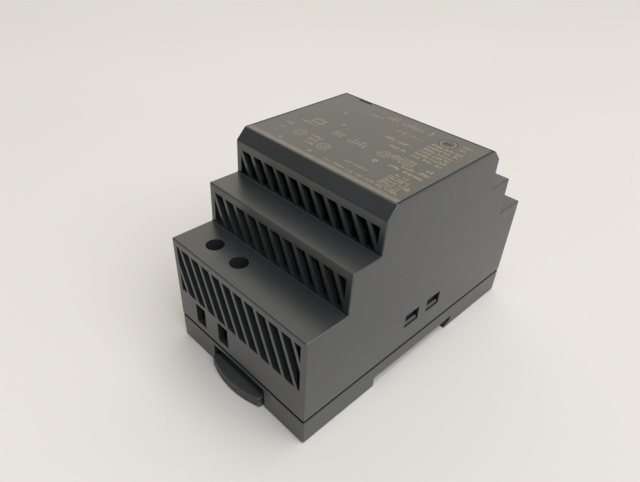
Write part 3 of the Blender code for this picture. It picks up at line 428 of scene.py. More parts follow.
def wound_wire(name, colour, per_mm, stretch):
    """Closely laid turns of enamelled wire."""
    shader = Shader(name)
    turns = shader.node("ShaderNodeTexWave", bands_direction="DIAGONAL", wave_profile="SIN")
    shader.put(turns, Vector=shader.millimetres(stretch), Scale=per_mm, Distortion=0.4)
    height = turns.outputs["Fac"]
    base = shader.mix(height, shade(colour, 0.35), colour)
    cloud = shader.remap(shader.noise(1.2), 0.3, 0.7, 0.0, 0.4)
    toned = shader.mix(cloud, base, shade(colour, 0.6))
    rough = shader.remap(height, 0.0, 1.0, 0.55, 0.28)
    normal = shader.bump(height, 0.2 * MM, 0.9)
    return shader.finish(Base_Color=toned, Roughness=rough, Metallic=0.85, Normal=normal)


def ceramic(name, colour, roughness):
    """Sintered ferrite or a dipped disc: grainy, with small chips of tone."""
    shader = Shader(name)
    grain = shader.noise(6.0, 5.0, 0.7)
    cloud = shader.noise(0.4, 3.0)
    base = shader.mix(shader.remap(cloud, 0.3, 0.7), shade(colour, 0.75), shade(colour, 1.2))
    toned = shader.mix(shader.remap(grain, 0.45, 0.75, 0.0, 0.5), base, shade(colour, 1.7, 0.01))
    rough = shader.remap(grain, 0.2, 0.8, roughness + 0.1, roughness - 0.1)
    normal = shader.bump(grain, 0.03 * MM, 0.7)
    return shader.finish(Base_Color=toned, Roughness=rough, Normal=normal)


def sleeve_film(name, colour, roughness):
    """Shrink sleeve or film: glossy, slightly rippled and clouded."""
    shader = Shader(name)
    ripple = shader.noise(0.35, 4.0, 0.5, (1.0, 1.0, 0.3))
    fine = shader.noise(5.0, 2.0)
    base = shader.mix(shader.remap(ripple, 0.3, 0.7), shade(colour, 0.8), shade(colour, 1.15))
    rough = shader.remap(fine, 0.3, 0.7, roughness - 0.05, roughness + 0.08)
    normal = shader.bump(ripple, 0.12 * MM, 0.5)
    return shader.finish(Base_Color=base, Roughness=rough, Normal=normal, Coat_Weight=0.3)


def tinted_lens():
    """Green-tinted resin of an unlit light: dark, clear-coated and a little cloudy."""
    shader = Shader("visual_led_green")
    cloud = shader.noise(1.1, 3.0)
    base = shader.mix(shader.remap(cloud, 0.3, 0.7), (0.002, 0.006, 0.003), (0.003, 0.010, 0.004))
    rough = shader.remap(shader.noise(4.0), 0.3, 0.7, 0.18, 0.32)
    normal = shader.bump(cloud, 0.02 * MM, 0.5)
    return shader.finish(Base_Color=base, Roughness=rough, Normal=normal, Specular_IOR_Level=0.12)


def ink_and_painted_light(name, colour, cover, sheen=HOUSING_SHEEN):
    """Thin pad-printed ink that lets the plastic show where it is worn thin.

    The same layer also carries painted light and shade: a paler strip and a dark border.
    """
    shader = Shader(name)
    patchy = shader.remap(shader.noise(1.6, 4.0, 0.7), 0.30, 0.62)
    fine = shader.remap(shader.noise(7.0, 3.0, 0.6), 0.3, 0.7)
    amount = shader.math("MULTIPLY", shader.math("MULTIPLY", patchy, fine), cover)
    amount = shader.math("ADD", amount, cover * 0.45)
    toned = shader.mix(amount, HOUSING_COLOUR, colour)
    rough = shader.remap(fine, 0.0, 1.0, 0.40, 0.33)
    normal = shader.bump(fine, 0.006 * MM, 0.6)
    shader.put(shader.principled, Specular_IOR_Level=sheen, IOR=PLASTIC_IOR)
    return shader.finish(Base_Color=toned, Roughness=rough, Normal=normal)


def floor_paper():
    """Pale matt table top with the slightest warmth and unevenness."""
    shader = Shader("stage_floor")
    cloud = shader.noise(0.004, 3.0, 0.5)
    tooth = shader.noise(0.9, 3.0, 0.6)
    base = shader.mix(shader.remap(cloud, 0.3, 0.7), (0.627, 0.619, 0.611), (0.647, 0.640, 0.632))
    normal = shader.bump(tooth, 0.02 * MM, 0.4)
    return shader.finish(Base_Color=base, Roughness=0.62, Normal=normal, Specular_IOR_Level=0.25)


def slot_materials():
    """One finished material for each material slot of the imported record."""
    return {
        "charcoal_plastic": moulded_plastic("visual_charcoal_plastic", HOUSING_COLOUR, 0.33),
        "terminal_plastic": moulded_plastic("visual_terminal_plastic", (0.020, 0.021, 0.022), 0.50),
        "component_plastic": moulded_plastic("visual_component_plastic", (0.016, 0.016, 0.017), 0.52),
        "trimmer_blue": moulded_plastic("visual_trimmer_blue", (0.02, 0.10, 0.35), 0.42),
        "rotor_grey": moulded_plastic("visual_rotor_grey", (0.030, 0.032, 0.033), 0.42),
        "fuse_red": moulded_plastic("visual_fuse_red", (0.16, 0.02, 0.015), 0.45),
        "film_yellow": moulded_plastic("visual_film_yellow", (0.55, 0.40, 0.05), 0.42),
        "plated_steel": bare_metal("visual_plated_steel", (0.62, 0.61, 0.58), 0.32),
        "spring_steel": bare_metal("visual_spring_steel", (0.46, 0.45, 0.43), 0.30, (1.0, 0.2, 1.0)),
        "tinned_brass": bare_metal("visual_tinned_brass", (0.66, 0.60, 0.46), 0.30),
        "aluminium": bare_metal("visual_aluminium", (0.68, 0.69, 0.70), 0.36, (0.1, 1.0, 1.0)),
        "board_laminate": board_laminate(),
        "insulation_film": sleeve_film("visual_insulation_film", (0.66, 0.64, 0.56), 0.32),
        "capacitor_sleeve": sleeve_film("visual_capacitor_sleeve", (0.020, 0.022, 0.030), 0.30),
        "inductor_sleeve": sleeve_film("visual_inductor_sleeve", (0.030, 0.030, 0.034), 0.40),
        "winding_tape": sleeve_film("visual_winding_tape", (0.58, 0.42, 0.05), 0.34),
        "ferrite": ceramic("visual_ferrite", (0.045, 0.042, 0.040), 0.58),
        "disc_blue": ceramic("visual_disc_blue", (0.03, 0.10, 0.30), 0.45),
        "disc_sky_blue": ceramic("visual_disc_sky_blue", (0.05, 0.20, 0.38), 0.45),
        "disc_green": ceramic("visual_disc_green", (0.03, 0.12, 0.05), 0.50),
        "copper_wire": wound_wire("visual_copper_wire", (0.72, 0.33, 0.12), 1.1, (0.0, 0.6, 1.0)),
        "led_green": tinted_lens(),
    }


MATERIALS = slot_materials()
NODE_SLOTS = {part["node"]: part["material_slot"] for part in frame["record"]["subparts"]}
NODE_BODIES = {
    node: body for body, nodes in frame["record"]["behaviour"]["bodies"].items() for node in nodes
}


# ---------------------------------------------------------------- mesh building blocks


def point_on(axis, first, second, along):
    """A point from its place in an outline and its distance along the outline's axis."""
    a, b, c = AXES[axis]
    place = [0.0, 0.0, 0.0]
    place[a], place[b], place[c] = first, second, along
    return Vector(place)


def add_box(bm, low, high):
    low, high = Vector(low), Vector(high)
    size = Matrix.Diagonal((*(high - low), 1.0))
    bmesh.ops.create_cube(bm, size=1.0, matrix=Matrix.Translation((low + high) / 2) @ size)


def add_prism(bm, outline, axis, start, end):
    """A closed outline carried straight along an axis."""
    loop = [bm.verts.new(point_on(axis, a, b, start)) for a, b in outline]
    grown = bmesh.ops.extrude_face_region(bm, geom=[bm.faces.new(loop)])["geom"]
    moved = [item for item in grown if isinstance(item, bmesh.types.BMVert)]
    bmesh.ops.translate(bm, verts=moved, vec=point_on(axis, 0.0, 0.0, end - start))


def add_rod(bm, radius, low, high, centre, segments=64):
    """An upright cylinder."""
    angles = [2 * math.pi * step / segments for step in range(segments)]
    x, y = centre
    outline = [(x + radius * math.cos(a), y + radius * math.sin(a)) for a in angles]
    add_prism(bm, outline, "Z", low, high)


def add_loft(bm, loops):
    """A solid skinned over a stack of loops that have equally many points."""
    rings = [[bm.verts.new(point) for point in loop] for loop in loops]
    count = len(rings[0])
    for ring, following in zip(rings, rings[1:]):
        for step in range(count):
            after = (step + 1) % count
            bm.faces.new((ring[step], ring[after], following[after], following[step]))
    bm.faces.new(rings[0])
    bm.faces.new(rings[-1])


def new_object(name, bm):
    """An object in the scene with a bmesh as its mesh."""
    bmesh.ops.recalc_face_normals(bm, faces=bm.faces)
    mesh = bpy.data.meshes.new(name)
    bm.to_mesh(mesh)
    bm.free()
    obj = bpy.data.objects.new(name, mesh)
    bpy.context.scene.collection.objects.link(obj)
    return obj


def apply_modifiers(obj):
    """Makes the evaluated shape the object's own mesh."""
    graph = bpy.context.evaluated_depsgraph_get()
    mesh = bpy.data.meshes.new_from_object(obj.evaluated_get(graph))
    obj.modifiers.clear()
    obj.data = mesh


def round_edges(obj, width, segments=2, degrees=50):
    """Rounds the edges that turn by more than an angle."""
    bevel = obj.modifiers.new("rounded_edges", "BEVEL")
    bevel.width = width
    bevel.segments = segments
    bevel.limit_method = "ANGLE"
    bevel.angle_limit = math.radians(degrees)
    bevel.use_clamp_overlap = False
    bevel.miter_outer = "MITER_ARC"
    apply_modifiers(obj)


def combine(obj, operation, build, *arguments):
    """One exact Boolean with the shapes that a function adds to an empty bmesh."""
    bm = bmesh.new()
    build(bm, *arguments)
    helper = new_object("helper", bm)
    boolean = obj.modifiers.new(operation, "BOOLEAN")
    boolean.operation = operation
    boolean.solver = "EXACT"
    boolean.object = helper
    apply_modifiers(obj)
    bpy.data.objects.remove(helper, do_unlink=True)


def join_flat_faces(obj):
    """Welds the mesh and gives back each flat face in one piece, so that edges bevel cleanly."""
    bm = bmesh.new()
    bm.from_mesh(obj.data)
    bmesh.ops.remove_doubles(bm, verts=bm.verts, dist=WELD)
    bmesh.ops.dissolve_limit(
        bm, angle_limit=FLAT_ANGLE, verts=bm.verts, edges=bm.edges, use_dissolve_boundaries=False
    )
    bm.to_mesh(obj.data)
    bm.free()


def smooth(obj, angle=SMOOTH_ANGLE):
    """Smooth shading that keeps flat faces flat and leaves the turn to the rounded edges."""
    obj.data.shade_smooth()
    obj.data.set_sharp_from_angle(angle=angle)
    weighted = obj.modifiers.new("flat_faces_first", "WEIGHTED_NORMAL")
    weighted.keep_sharp = True
    weighted.weight = 100


def dress(obj, node):
    """Gives a new piece its CAD node's material, body and place."""
    slot = NODE_SLOTS[node]
    obj.data.materials.clear()
    obj.data.materials.append(MATERIALS[slot])
    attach(obj, NODE_BODIES[node])
    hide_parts(node)


def copy_of(node, name):
    """A new piece with a CAD node's own shape, its flat faces joined."""
    obj = bpy.data.objects.new(name, frame["nodes"][node].data.copy())
    bpy.context.scene.collection.objects.link(obj)
    join_flat_faces(obj)
    return obj


# ---------------------------------------------------------------- stepped cover


def tier_points(sign, inset, bottom):
    """One end of the stepped outline as (y, z), from the split upwards."""
    slant = inset * math.tan(math.radians(22.5))
    lower = [
        (TIER_1_HALF[0] - inset, bottom),
        (TIER_1_HALF[1] - inset, TREAD_1_Z - inset),
    ]
    upper = [
        (TIER_2_HALF[0] - inset, TREAD_1_Z - inset),
        (TIER_2_HALF[1] - inset, TREAD_2_Z - inset),
        (TIER_3_HALF[0] - inset, TREAD_2_Z - inset),
        (TIER_3_HALF[1] - inset, CHAMFER_Z - slant),
        (TOP_HALF - slant, TOP_Z - inset),
    ]
    return [(sign * y, z) for y, z in lower] + [(UPPER_SHIFT + sign * y, z) for y, z in upper]


def cover_outline(inset, bottom):
    """The whole stepped outline as (y, z), moved inwards by an inset for the hollow."""
    near = tier_points(-1, inset, bottom)
    far = tier_points(1, inset, bottom)
    return near + far[::-1]


def keep_inside(outline, limit, sign):
    """The part of a convex (x, z) outline where sign * x is at most the limit."""
    kept = []
    for (x0, z0), (x1, z1) in zip(outline, outline[1:] + outline[:1]):
        start_in, end_in = sign * x0 <= limit, sign * x1 <= limit
        if start_in:
            kept.append((x0, z0))
        if start_in != end_in:
            share = (sign * limit - x0) / (x1 - x0)
            kept.append((sign * limit, z0 + share * (z1 - z0)))
    return kept


def slot_outline(vent, top_left):
    """One slanted slot as (x, z), cut short where it would cross the band's sides."""
    low, high, _, _, lean = vent
    right = top_left + SLOT_WIDTH
    corners = [(top_left, high), (right, high), (right + lean, low), (top_left + lean, low)]
    return keep_inside(keep_inside(corners, VENT_HALF, 1), VENT_HALF, -1)


def add_vent(bm, vent, wall_y, sign):
    """The slots of one band, cut along Y through a wall. The far end is the near end turned."""
    _, _, pitch, place, lean = vent
    first = math.ceil((-VENT_HALF - SLOT_WIDTH - lean - place) / pitch)
    last = math.floor((VENT_HALF - place) / pitch)
    for number in range(first, last + 1):
        top_left = place + number * pitch
        if top_left + SLOT_WIDTH + lean < -VENT_HALF + SMALLEST_SLOT_CORNER:
            continue
        if top_left > VENT_HALF - SMALLEST_SLOT_CORNER:
            continue
        outline = [(-sign * x, z) for x, z in slot_outline(vent, top_left)]
        add_prism(bm, outline, "Y", wall_y - 2 * WALL, wall_y + 2 * WALL)


def add_vents(bm):
    for sign in (-1, 1):
        add_vent(bm, WALL_VENT, sign * TIER_1_HALF[0], sign)
        add_vent(bm, RISER_1_VENT, UPPER_SHIFT + sign * TIER_2_HALF[0], sign)
        add_vent(bm, RISER_2_VENT, UPPER_SHIFT + sign * TIER_3_HALF[0], sign)


def add_driver_tubes(bm):
    """The tubes that guide a screwdriver from the treads down to the screws."""
    for place in terminal_places():
        add_rod(bm, DRIVER_TUBE_RADIUS, DRIVER_TUBE_Z, TREAD_1_Z - WALL / 2, place)


def add_terminal_openings(bm):
    """A screwdriver hole and a wire entry for every terminal screw."""
    for x, y in terminal_places():
        add_rod(bm, DRIVER_HOLE_RADIUS, DRIVER_TUBE_Z - 1 * MM, TREAD_1_Z + 1 * MM, (x, y))
        side = math.copysign(1.0, y)
        ends = sorted((side * (LENGTH / 2 - 2 * WALL), side * (LENGTH / 2 + WALL)))
        low = (x - WIRE_HOLE_HALF, ends[0], WIRE_HOLE_Z[0])
        add_box(bm, low, (x + WIRE_HOLE_HALF, ends[1], WIRE_HOLE_Z[1]))


def add_face_openings(bm):
    """Snap windows in the sides, and the trimmer and light openings in the front face."""
    for side in (-1, 1):
        for y in SNAP_Y:
            ends = sorted((side * (WIDTH / 2 - 2 * WALL), side * (WIDTH / 2 + WALL)))
            add_box(bm, (ends[0], y - SNAP_HALF, SNAP_Z[0]), (ends[1], y + SNAP_HALF, SNAP_Z[1]))
    add_rod(bm, TRIMMER_HOLE_RADIUS, TOP_Z - 2 * WALL, TOP_Z + WALL, TRIMMER_PLACE)
    low = (LED_X - LED_WINDOW_HALF, LED_WINDOW_Y, LED_WINDOW_Z)
    add_box(bm, low, (LED_X + LED_WINDOW_HALF, LED_WINDOW_Y + 3 * WALL, TOP_Z + WALL))


def build_cover():
    """The stepped cover: rounded, hollowed, then cut open."""
    bm = bmesh.new()
    add_prism(bm, cover_outline(0.0, COVER_BOTTOM), "X", -WIDTH / 2, WIDTH / 2)
    cover = new_object("cover_shell", bm)
    round_edges(cover, EDGE_RADIUS, segments=4, degrees=30)
    inner_half = WIDTH / 2 - WALL
    inner = cover_outline(WALL, COVER_BOTTOM - WALL)
    combine(cover, "DIFFERENCE", add_prism, inner, "X", -inner_half, inner_half)
    combine(cover, "UNION", add_driver_tubes)
    combine(cover, "DIFFERENCE", add_vents)
    combine(cover, "DIFFERENCE", add_terminal_openings)
    combine(cover, "DIFFERENCE", add_face_openings)
    join_flat_faces(cover)
    round_edges(cover, SLOT_EDGE)
    smooth(cover)
    dress(cover, "top_cover")


# ---------------------------------------------------------------- print and painted light on the housing


def add_mark(bm, u0, u1, v0, v1):
    """One flat mark in the (u, v) plane of the face it lies on."""
    corners = [(u0, v0), (u1, v0), (u1, v1), (u0, v1)]
    bm.faces.new([bm.verts.new((u, v, 0.0)) for u, v in corners])


def add_mark_row(bm, draw, start, end, base, height, weight=1.0):
    """A row of small upright ticks in groups, spaced like a line of fine print."""
    u = start
    while u < end:
        for _ in range(draw.randint(3, 7)):
            tick = height * weight * draw.uniform(0.24, 0.38)
            gap = height * draw.uniform(0.14, 0.22)
            if u + tick > end:
                return
            tall = height * draw.choice((1.0, 1.0, 0.72, 0.72, 0.55))
            add_mark(bm, u, u + tick, base, base + tall)
            if draw.random() < 0.7:
                shelf = base + tall * draw.choice((0.0, 0.42, 0.80))
                reach = min(u + tick + gap * 1.3, end)
                add_mark(bm, u + tick, reach, shelf, shelf + height * weight * 0.22)
            u += tick + gap + height * 0.10
        u += height * draw.uniform(0.45, 0.8)


def add_ring_mark(bm, centre, radius, thickness, steps=40):
    """A flat ring."""
    angles = [2 * math.pi * step / steps for step in range(steps)]
    inner, outer = (
        [
            bm.verts.new((centre[0] + r * math.cos(a), centre[1] + r * math.sin(a), 0.0))
            for a in angles
        ]
        for r in (radius - thickness, radius)
    )
    for step in range(steps):
        after = (step + 1) % steps
        bm.faces.new((inner[step], outer[step], outer[after], inner[after]))


def add_frame_mark(bm, u0, u1, v0, v1, line):
    """A plain rectangular outline."""
    add_mark(bm, u0, u1, v0, v0 + line)
    add_mark(bm, u0, u1, v1 - line, v1)
    add_mark(bm, u0, u0 + line, v0 + line, v1 - line)
    add_mark(bm, u1 - line, u1, v0 + line, v1 - line)


def lay_print_and_painted_light(name, bm, matrix, ink, body="housing"):
    """Turns flat marks, drawn in millimetres, into a thin layer on a face, for print and for painted
    light and shade.
    """
    bmesh.ops.scale(bm, verts=bm.verts, vec=(MM, MM, MM))
    grown = bmesh.ops.extrude_face_region(bm, geom=list(bm.faces))["geom"]
    lifted = [item for item in grown if isinstance(item, bmesh.types.BMVert)]
    bmesh.ops.translate(bm, verts=lifted, vec=(0, 0, PRINT_THICKNESS))
    bmesh.ops.transform(bm, verts=bm.verts, matrix=matrix)
    layer = new_object(name, bm)
    layer.data.materials.append(ink)
    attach(layer, body)


def add_bold_print(bm, draw):
    """The brighter rows, boxes and rings, mostly on the +X half. All places are millimetres."""
    for line in range(6):
        add_mark_row(bm, draw, 13.2, 22.4, 10.5 - 1.8 * line, 1.15)
    for line in range(2):
        add_mark_row(bm, draw, 19.4 + 0.4 * line, 22.4, 15.5 - 2.3 * line, 1.1)
    add_mark_row(bm, draw, 2.2, 11.2, 4.9, 1.2)
    add_mark_row(bm, draw, 6.6, 11.8, 1.6, 1.3)
    for centre, radius in (((8.6, -2.9), 1.75), ((11.8, -1.9), 1.20)):
        add_ring_mark(bm, centre, radius, 0.26)
        add_ring_mark(bm, centre, radius * 0.55, 0.26)
    add_frame_mark(bm, 13.3, 17.3, -3.5, -0.6, 0.30)
    add_frame_mark(bm, 14.2, 16.4, -2.7, -1.4, 0.26)
    add_mark_row(bm, draw, 21.0, 22.8, -2.4, 1.7)
    add_mark_row(bm, draw, 20.2, 23.6, -4.6, 1.2, 1.2)
    add_mark_row(bm, draw, 15.6, 19.4, -5.0, 1.2)
    add_mark_row(bm, draw, 13.2, 23.2, -6.9, 1.3, 1.2)
    add_mark_row(bm, draw, 17.1, 21.7, -9.2, 0.95)
    for line in range(3):
        add_mark_row(bm, draw, 17.1, 21.7, -11.4 - 1.35 * line, 0.95)
    add_frame_mark(bm, 16.6, 22.2, -14.9, -9.9, 0.24)
    add_mark_row(bm, draw, 17.2, 23.4, -16.2, 1.05)
    for spot, radius in (((23.3, -12.4), 0.7), ((9.5, -7.3), 0.75)):
        add_ring_mark(bm, spot, radius, radius * 0.6, 20)
    for spot in ((-15.1, 8.4), (-10.0, 2.2), (-4.6, -15.5), (-15.2, -15.8)):
        add_ring_mark(bm, spot, 0.55, 0.34, 20)


def add_faint_print(bm, draw):
    """The paler rows and marks. All places are millimetres."""
    add_mark_row(bm, draw, 0.5, 16.6, -16.1, 0.95)
    add_mark_row(bm, draw, -5.0, 10.4, 14.7, 2.7, 0.5)
    add_mark_row(bm, draw, -9.6, -4.4, 13.0, 1.3)
    add_mark_row(bm, draw, 1.4, 10.6, 10.1, 1.5, 0.7)
    add_mark_row(bm, draw, -8.2, 5.4, -4.5, 3.0, 0.5)
    add_frame_mark(bm, -17.6, -13.8, -2.8, 0.0, 0.50)
    add_mark_row(bm, draw, -19.6, -13.8, -4.5, 1.2)
    add_mark_row(bm, draw, -21.4, -18.6, -8.5, 1.3, 1.3)
    add_mark_row(bm, draw, -20.6, -18.4, -11.2, 1.1, 1.2)
    for centre in ((-13.9, -10.2), (-4.0, -11.4)):
        add_ring_mark(bm, centre, 1.85, 0.32)
        add_ring_mark(bm, centre, 0.95, 0.32)
    for line in range(3):
        add_mark_row(bm, draw, -10.8 + 0.7 * line, -6.9 + 0.3 * line, -9.3 - 1.9 * line, 1.25, 1.2)
    add_mark_row(bm, draw, 4.6, 13.0, -13.0, 1.1)


def build_front_print_and_painted_light():
    """Generic rows, rings and boxes on the front face, a paler near strip of painted highlight and a
    dark border of painted shade.
    """
    near_edge = (UPPER_SHIFT - TOP_HALF) / MM
    far_edge = (UPPER_SHIFT + TOP_HALF - 0.2 * MM) / MM
    side_edge = (WIDTH / 2 - EDGE_RADIUS) / MM
    border = BORDER / MM
    place = Matrix.Translation((0, 0, TOP_Z + PRINT_LIFT))
    bold = bmesh.new()
    add_bold_print(bold, random.Random(7))
    lay_print_and_painted_light("front_print", bold, place, ink_and_painted_light("bold_ink", PRINT_COLOUR, 0.72))
    faint = bmesh.new()
    add_faint_print(faint, random.Random(8))
    lay_print_and_painted_light("front_print_faint", faint, place, ink_and_painted_light("faint_ink", PRINT_COLOUR, 0.58))
    strip_edge = side_edge - border
    # Painted highlight: a paler, warmer band along the near edge of the front face, where the rounded
    # edge catches the light from above.
    for number, (start, end, cover) in enumerate(((0.35, 1.5, 0.54), (1.5, 2.0, 0.34))):
        strip = bmesh.new()
        add_mark(strip, -strip_edge, strip_edge, near_edge + start, near_edge + end)
        ink = ink_and_painted_light(f"edge_sheen_{number}", SHEEN_STRIP_COLOUR, cover)
        lay_print_and_painted_light(f"painted_sheen_strip_{number}", strip, place, ink)
    # Painted shade: a dark line along the front face's side and far edges, where the rounded edge
    # reflects something dark.
    line = bmesh.new()
    window_half = LED_WINDOW_HALF + 0.3 * MM
    window = ((LED_X - window_half) / MM, (LED_X + window_half) / MM)
    for sign in (-1, 1):
        ends = sorted((sign * side_edge, sign * strip_edge))
        add_mark(line, *ends, near_edge + 0.2, far_edge)
    add_mark(line, -strip_edge, window[0], far_edge - border, far_edge)
    add_mark(line, window[1], strip_edge, far_edge - border, far_edge)
    ink = ink_and_painted_light("border_shade", (0.004, 0.004, 0.005), 0.9, 0.12)
    lay_print_and_painted_light("painted_shade_border", line, place, ink)


def build_side_print():
    """Faint rows on the +X side, read with the input end to the left."""
    draw = random.Random(11)
    bm = bmesh.new()
    for line in range(8):
        start = -17.5 + 1.6 * math.sin(line * 1.9)
        end = start + 24.0 + 9.0 * math.cos(line * 1.3)
        add_mark_row(bm, draw, start, end, 42.0 - 2.35 * line, 1.25)
    add_frame_mark(bm, -17.5, -11.0, 21.2, 23.6, 0.25)
    ink = ink_and_painted_light("side_ink", (0.135, 0.088, 0.045), 0.80)
    turn = Matrix(((0, 0, 1, 0), (1, 0, 0, 0), (0, 1, 0, 0), (0, 0, 0, 1)))
    lay_print_and_painted_light("side_print", bm, Matrix.Translation((WIDTH / 2 + PRINT_LIFT, 0, 0)) @ turn, ink)


# ---------------------------------------------------------------- latch spring


def spring_loops(low, high):
    """Rings of points along a round wire that coils from one Y end of a box to the other."""
    centre = (low + high) / 2
    radius = (high.x - low.x) / 2 - SPRING_WIRE_RADIUS
    start, end = low.y + SPRING_WIRE_RADIUS, high.y - SPRING_WIRE_RADIUS
    rise = (end - start) / (SPRING_TURNS * 2 * math.pi * radius)
    per_turn, sides = 20, 8
    count = SPRING_TURNS * per_turn
    loops = []
    for step in range(count + 1):
        share = step / count
        eased = share - SPRING_END_CLOSING * math.sin(2 * math.pi * share)
        turn = 2 * math.pi * step / per_turn
        outward = Vector((math.cos(turn), 0.0, math.sin(turn)))
        tangent = Vector((-math.sin(turn), rise, math.cos(turn)))
        across = outward.cross(tangent.normalized())
        place = Vector((centre.x, start + (end - start) * eased, centre.z)) + outward * radius
        loops.append([
            place + SPRING_WIRE_RADIUS * (outward * math.cos(a) + across * math.sin(a))
            for a in (2 * math.pi * side / sides for side in range(sides))
        ])
    return loops


def build_spring():
    """A round-wire compression spring with closed ends, built at its rest length."""
    low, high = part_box("latch_spring")
    bm = bmesh.new()
    add_loft(bm, spring_loops(low, high))
    spring = new_object("coil_spring", bm)
    smooth(spring)
    dress(spring, "latch_spring")
    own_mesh(spring)


# ---------------------------------------------------------------- other pieces


def lip_loop(shrink, z):
    """The finger lip's outline: a shallow arc with rounded ends, square at the back."""
    half = LIP_HIGH.x - shrink
    chord_half = half - LIP_CORNER
    radius = (chord_half**2 + LIP_SAG**2) / (2 * LIP_SAG)
    reach = math.asin(chord_half / radius)
    front = LIP_LOW.y + shrink
    steps = 40
    arc = []
    for step in range(steps + 1):
        angle = reach * (2 * step / steps - 1)
        arc.append((radius * math.sin(angle), front + radius * (1 - math.cos(angle))))
    corner = []
    for step in range(1, 7):
        angle = math.pi / 2 * step / 6
        x = chord_half + LIP_CORNER * math.sin(angle)
        corner.append((x, front + LIP_SAG + LIP_CORNER * (1 - math.cos(angle))))
    left = [(-x, y) for x, y in reversed(corner)]
    outline = [(-half, LIP_BACK_Y), *left, *arc, *corner, (half, LIP_BACK_Y)]
    return [(x, y, z) for x, y in outline]


def lip_stations():
    """(height, shrink) up the lip's face: rounded ends and raised bands parted by grooves."""
    band = (LIP_HEIGHT - (LIP_BANDS - 1) * GROOVE_WIDTH) / LIP_BANDS
    stations = [(0.0, 0.16 * MM), (0.05 * MM, 0.06 * MM), (0.16 * MM, 0.0)]
    for number in range(1, LIP_BANDS):
        groove = number * band + (number - 1) * GROOVE_WIDTH
        stations.append((groove, 0.0))
        stations.append((groove + GROOVE_SLOPE, GROOVE_DEPTH))
        stations.append((groove + GROOVE_WIDTH - GROOVE_SLOPE, GROOVE_DEPTH))
        stations.append((groove + GROOVE_WIDTH, 0.0))
    top = [(LIP_HEIGHT - height, shrink) for height, shrink in reversed(stations[:3])]
    return stations + top


def build_latch():
    """The latch with its sliding plate and a thicker, grooved finger lip."""
    latch = copy_of("rail_latch", "latch_slider")
    front = (-WIDTH, LIP_LOW.y - 1 * MM, LIP_LOW.z - 1 * MM)
    combine(latch, "DIFFERENCE", add_box, front, (WIDTH, LIP_BACK_Y - 0.2 * MM, 1 * MM))
    loops = [lip_loop(shrink, LIP_LOW.z + height) for height, shrink in lip_stations()]
    combine(latch, "UNION", add_loft, loops)
    join_flat_faces(latch)
    smooth(latch, math.radians(32))
    dress(latch, "rail_latch")
    latch.data.materials[0] = moulded_plastic("visual_latch_plastic", HOUSING_COLOUR, 0.48)


def build_base():
    """The base with rounded edges, a higher mouth above the finger lip and set-back snap hooks."""
    base = copy_of("base_shell", "base_housing")
    round_edges(base, BASE_EDGE)
    half = LIP_HIGH.x + 0.5 * MM
    mouth_low = (-half, -LENGTH, MOUTH_TOP_Z - 1 * MM)
    combine(base, "DIFFERENCE", add_box, mouth_low, (half, MOUTH_WALL_Y, MOUTH_TOP_Z))
    for side in (-1, 1):
        ends = sorted((side * HOOK_FACE_X, side * WIDTH))
        low, high = (ends[0], -LENGTH, HOOK_STEP_Z), (ends[1], LENGTH, TOP_Z)
        combine(base, "DIFFERENCE", add_box, low, high)
    join_flat_faces(base)
    smooth(base)
    dress(base, "base_shell")


def build_lens():
    """The light's dark lens: it fills its window and follows the slanted far edge."""
    low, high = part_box("status_led")
    top, slope_y = TOP_Z - LENS_SINK, UPPER_SHIFT + TOP_HALF - LENS_SINK
    foot, near = LED_WINDOW_Z + LENS_GAP, LED_WINDOW_Y + LENS_GAP
    outline = [
        (near, foot), (low.y, foot), (low.y, low.z), (high.y, low.z),
        (high.y, foot), (slope_y + top - foot, foot), (slope_y, top), (near, top),
    ]
    half = LED_WINDOW_HALF - LENS_GAP
    bm = bmesh.new()
    add_prism(bm, outline, "X", LED_X - half, LED_X + half)
    lens = new_object("light_lens", bm)
    stem_half = (high.x - low.x) / 2
    for sign in (-1, 1):
        ends = sorted((LED_X + sign * 2 * half, LED_X + sign * stem_half))
        combine(lens, "DIFFERENCE", add_box, (ends[0], 0, 0), (ends[1], LENGTH / 2, foot))
    join_flat_faces(lens)
    round_edges(lens, LENS_EDGE, degrees=30)
    smooth(lens)
    dress(lens, "status_led")


def build_dial():
    """The trimmer's dial: nearly flush with the front, with a screwdriver slot and a pale ring."""
    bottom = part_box("trimmer_rotor")[0].z
    top = TOP_Z - DIAL_SINK
    x, y = TRIMMER_PLACE
    bm = bmesh.new()
    add_rod(bm, DIAL_RADIUS, bottom, top, TRIMMER_PLACE, 72)
    dial = new_object("trimmer_dial", bm)
    slot_low = (x - DIAL_SLOT_HALF[0], y - DIAL_SLOT_HALF[1], top - DIAL_SLOT_DEPTH)
    slot_high = (x + DIAL_SLOT_HALF[0], y + DIAL_SLOT_HALF[1], top + 1 * MM)
    combine(dial, "DIFFERENCE", add_box, slot_low, slot_high)
    join_flat_faces(dial)
    round_edges(dial, DIAL_EDGE)
    smooth(dial)
    dress(dial, "trimmer_rotor")
    ring = bmesh.new()
    add_ring_mark(ring, (x / MM, y / MM), 2.15, 0.30, 56)
    place = Matrix.Translation((0, 0, top + PRINT_LIFT))
    ink = ink_and_painted_light("dial_ink", PRINT_COLOUR, 0.8)
    lay_print_and_painted_light("dial_ring", ring, place, ink, "trimmer")


def carry_over_the_rest():
    """Every CAD node that is still shown gets its finished material."""
    for name, node in frame["nodes"].items():
        if node.hide_render:
            continue
        node.data.materials.clear()
        node.data.materials.append(MATERIALS[NODE_SLOTS[name]])


# ---------------------------------------------------------------- floor, light and camera


def build_floor():
    """A wide flat table top just below the object."""
    bm = bmesh.new()
    bmesh.ops.create_grid(bm, x_segments=8, y_segments=8, size=FLOOR_HALF)
    bmesh.ops.translate(bm, verts=bm.verts, vec=(0, 0, CAD_BOUNDS[0][2] - FLOOR_GAP))
    floor = new_object("floor", bm)
    floor.data.materials.append(floor_paper())


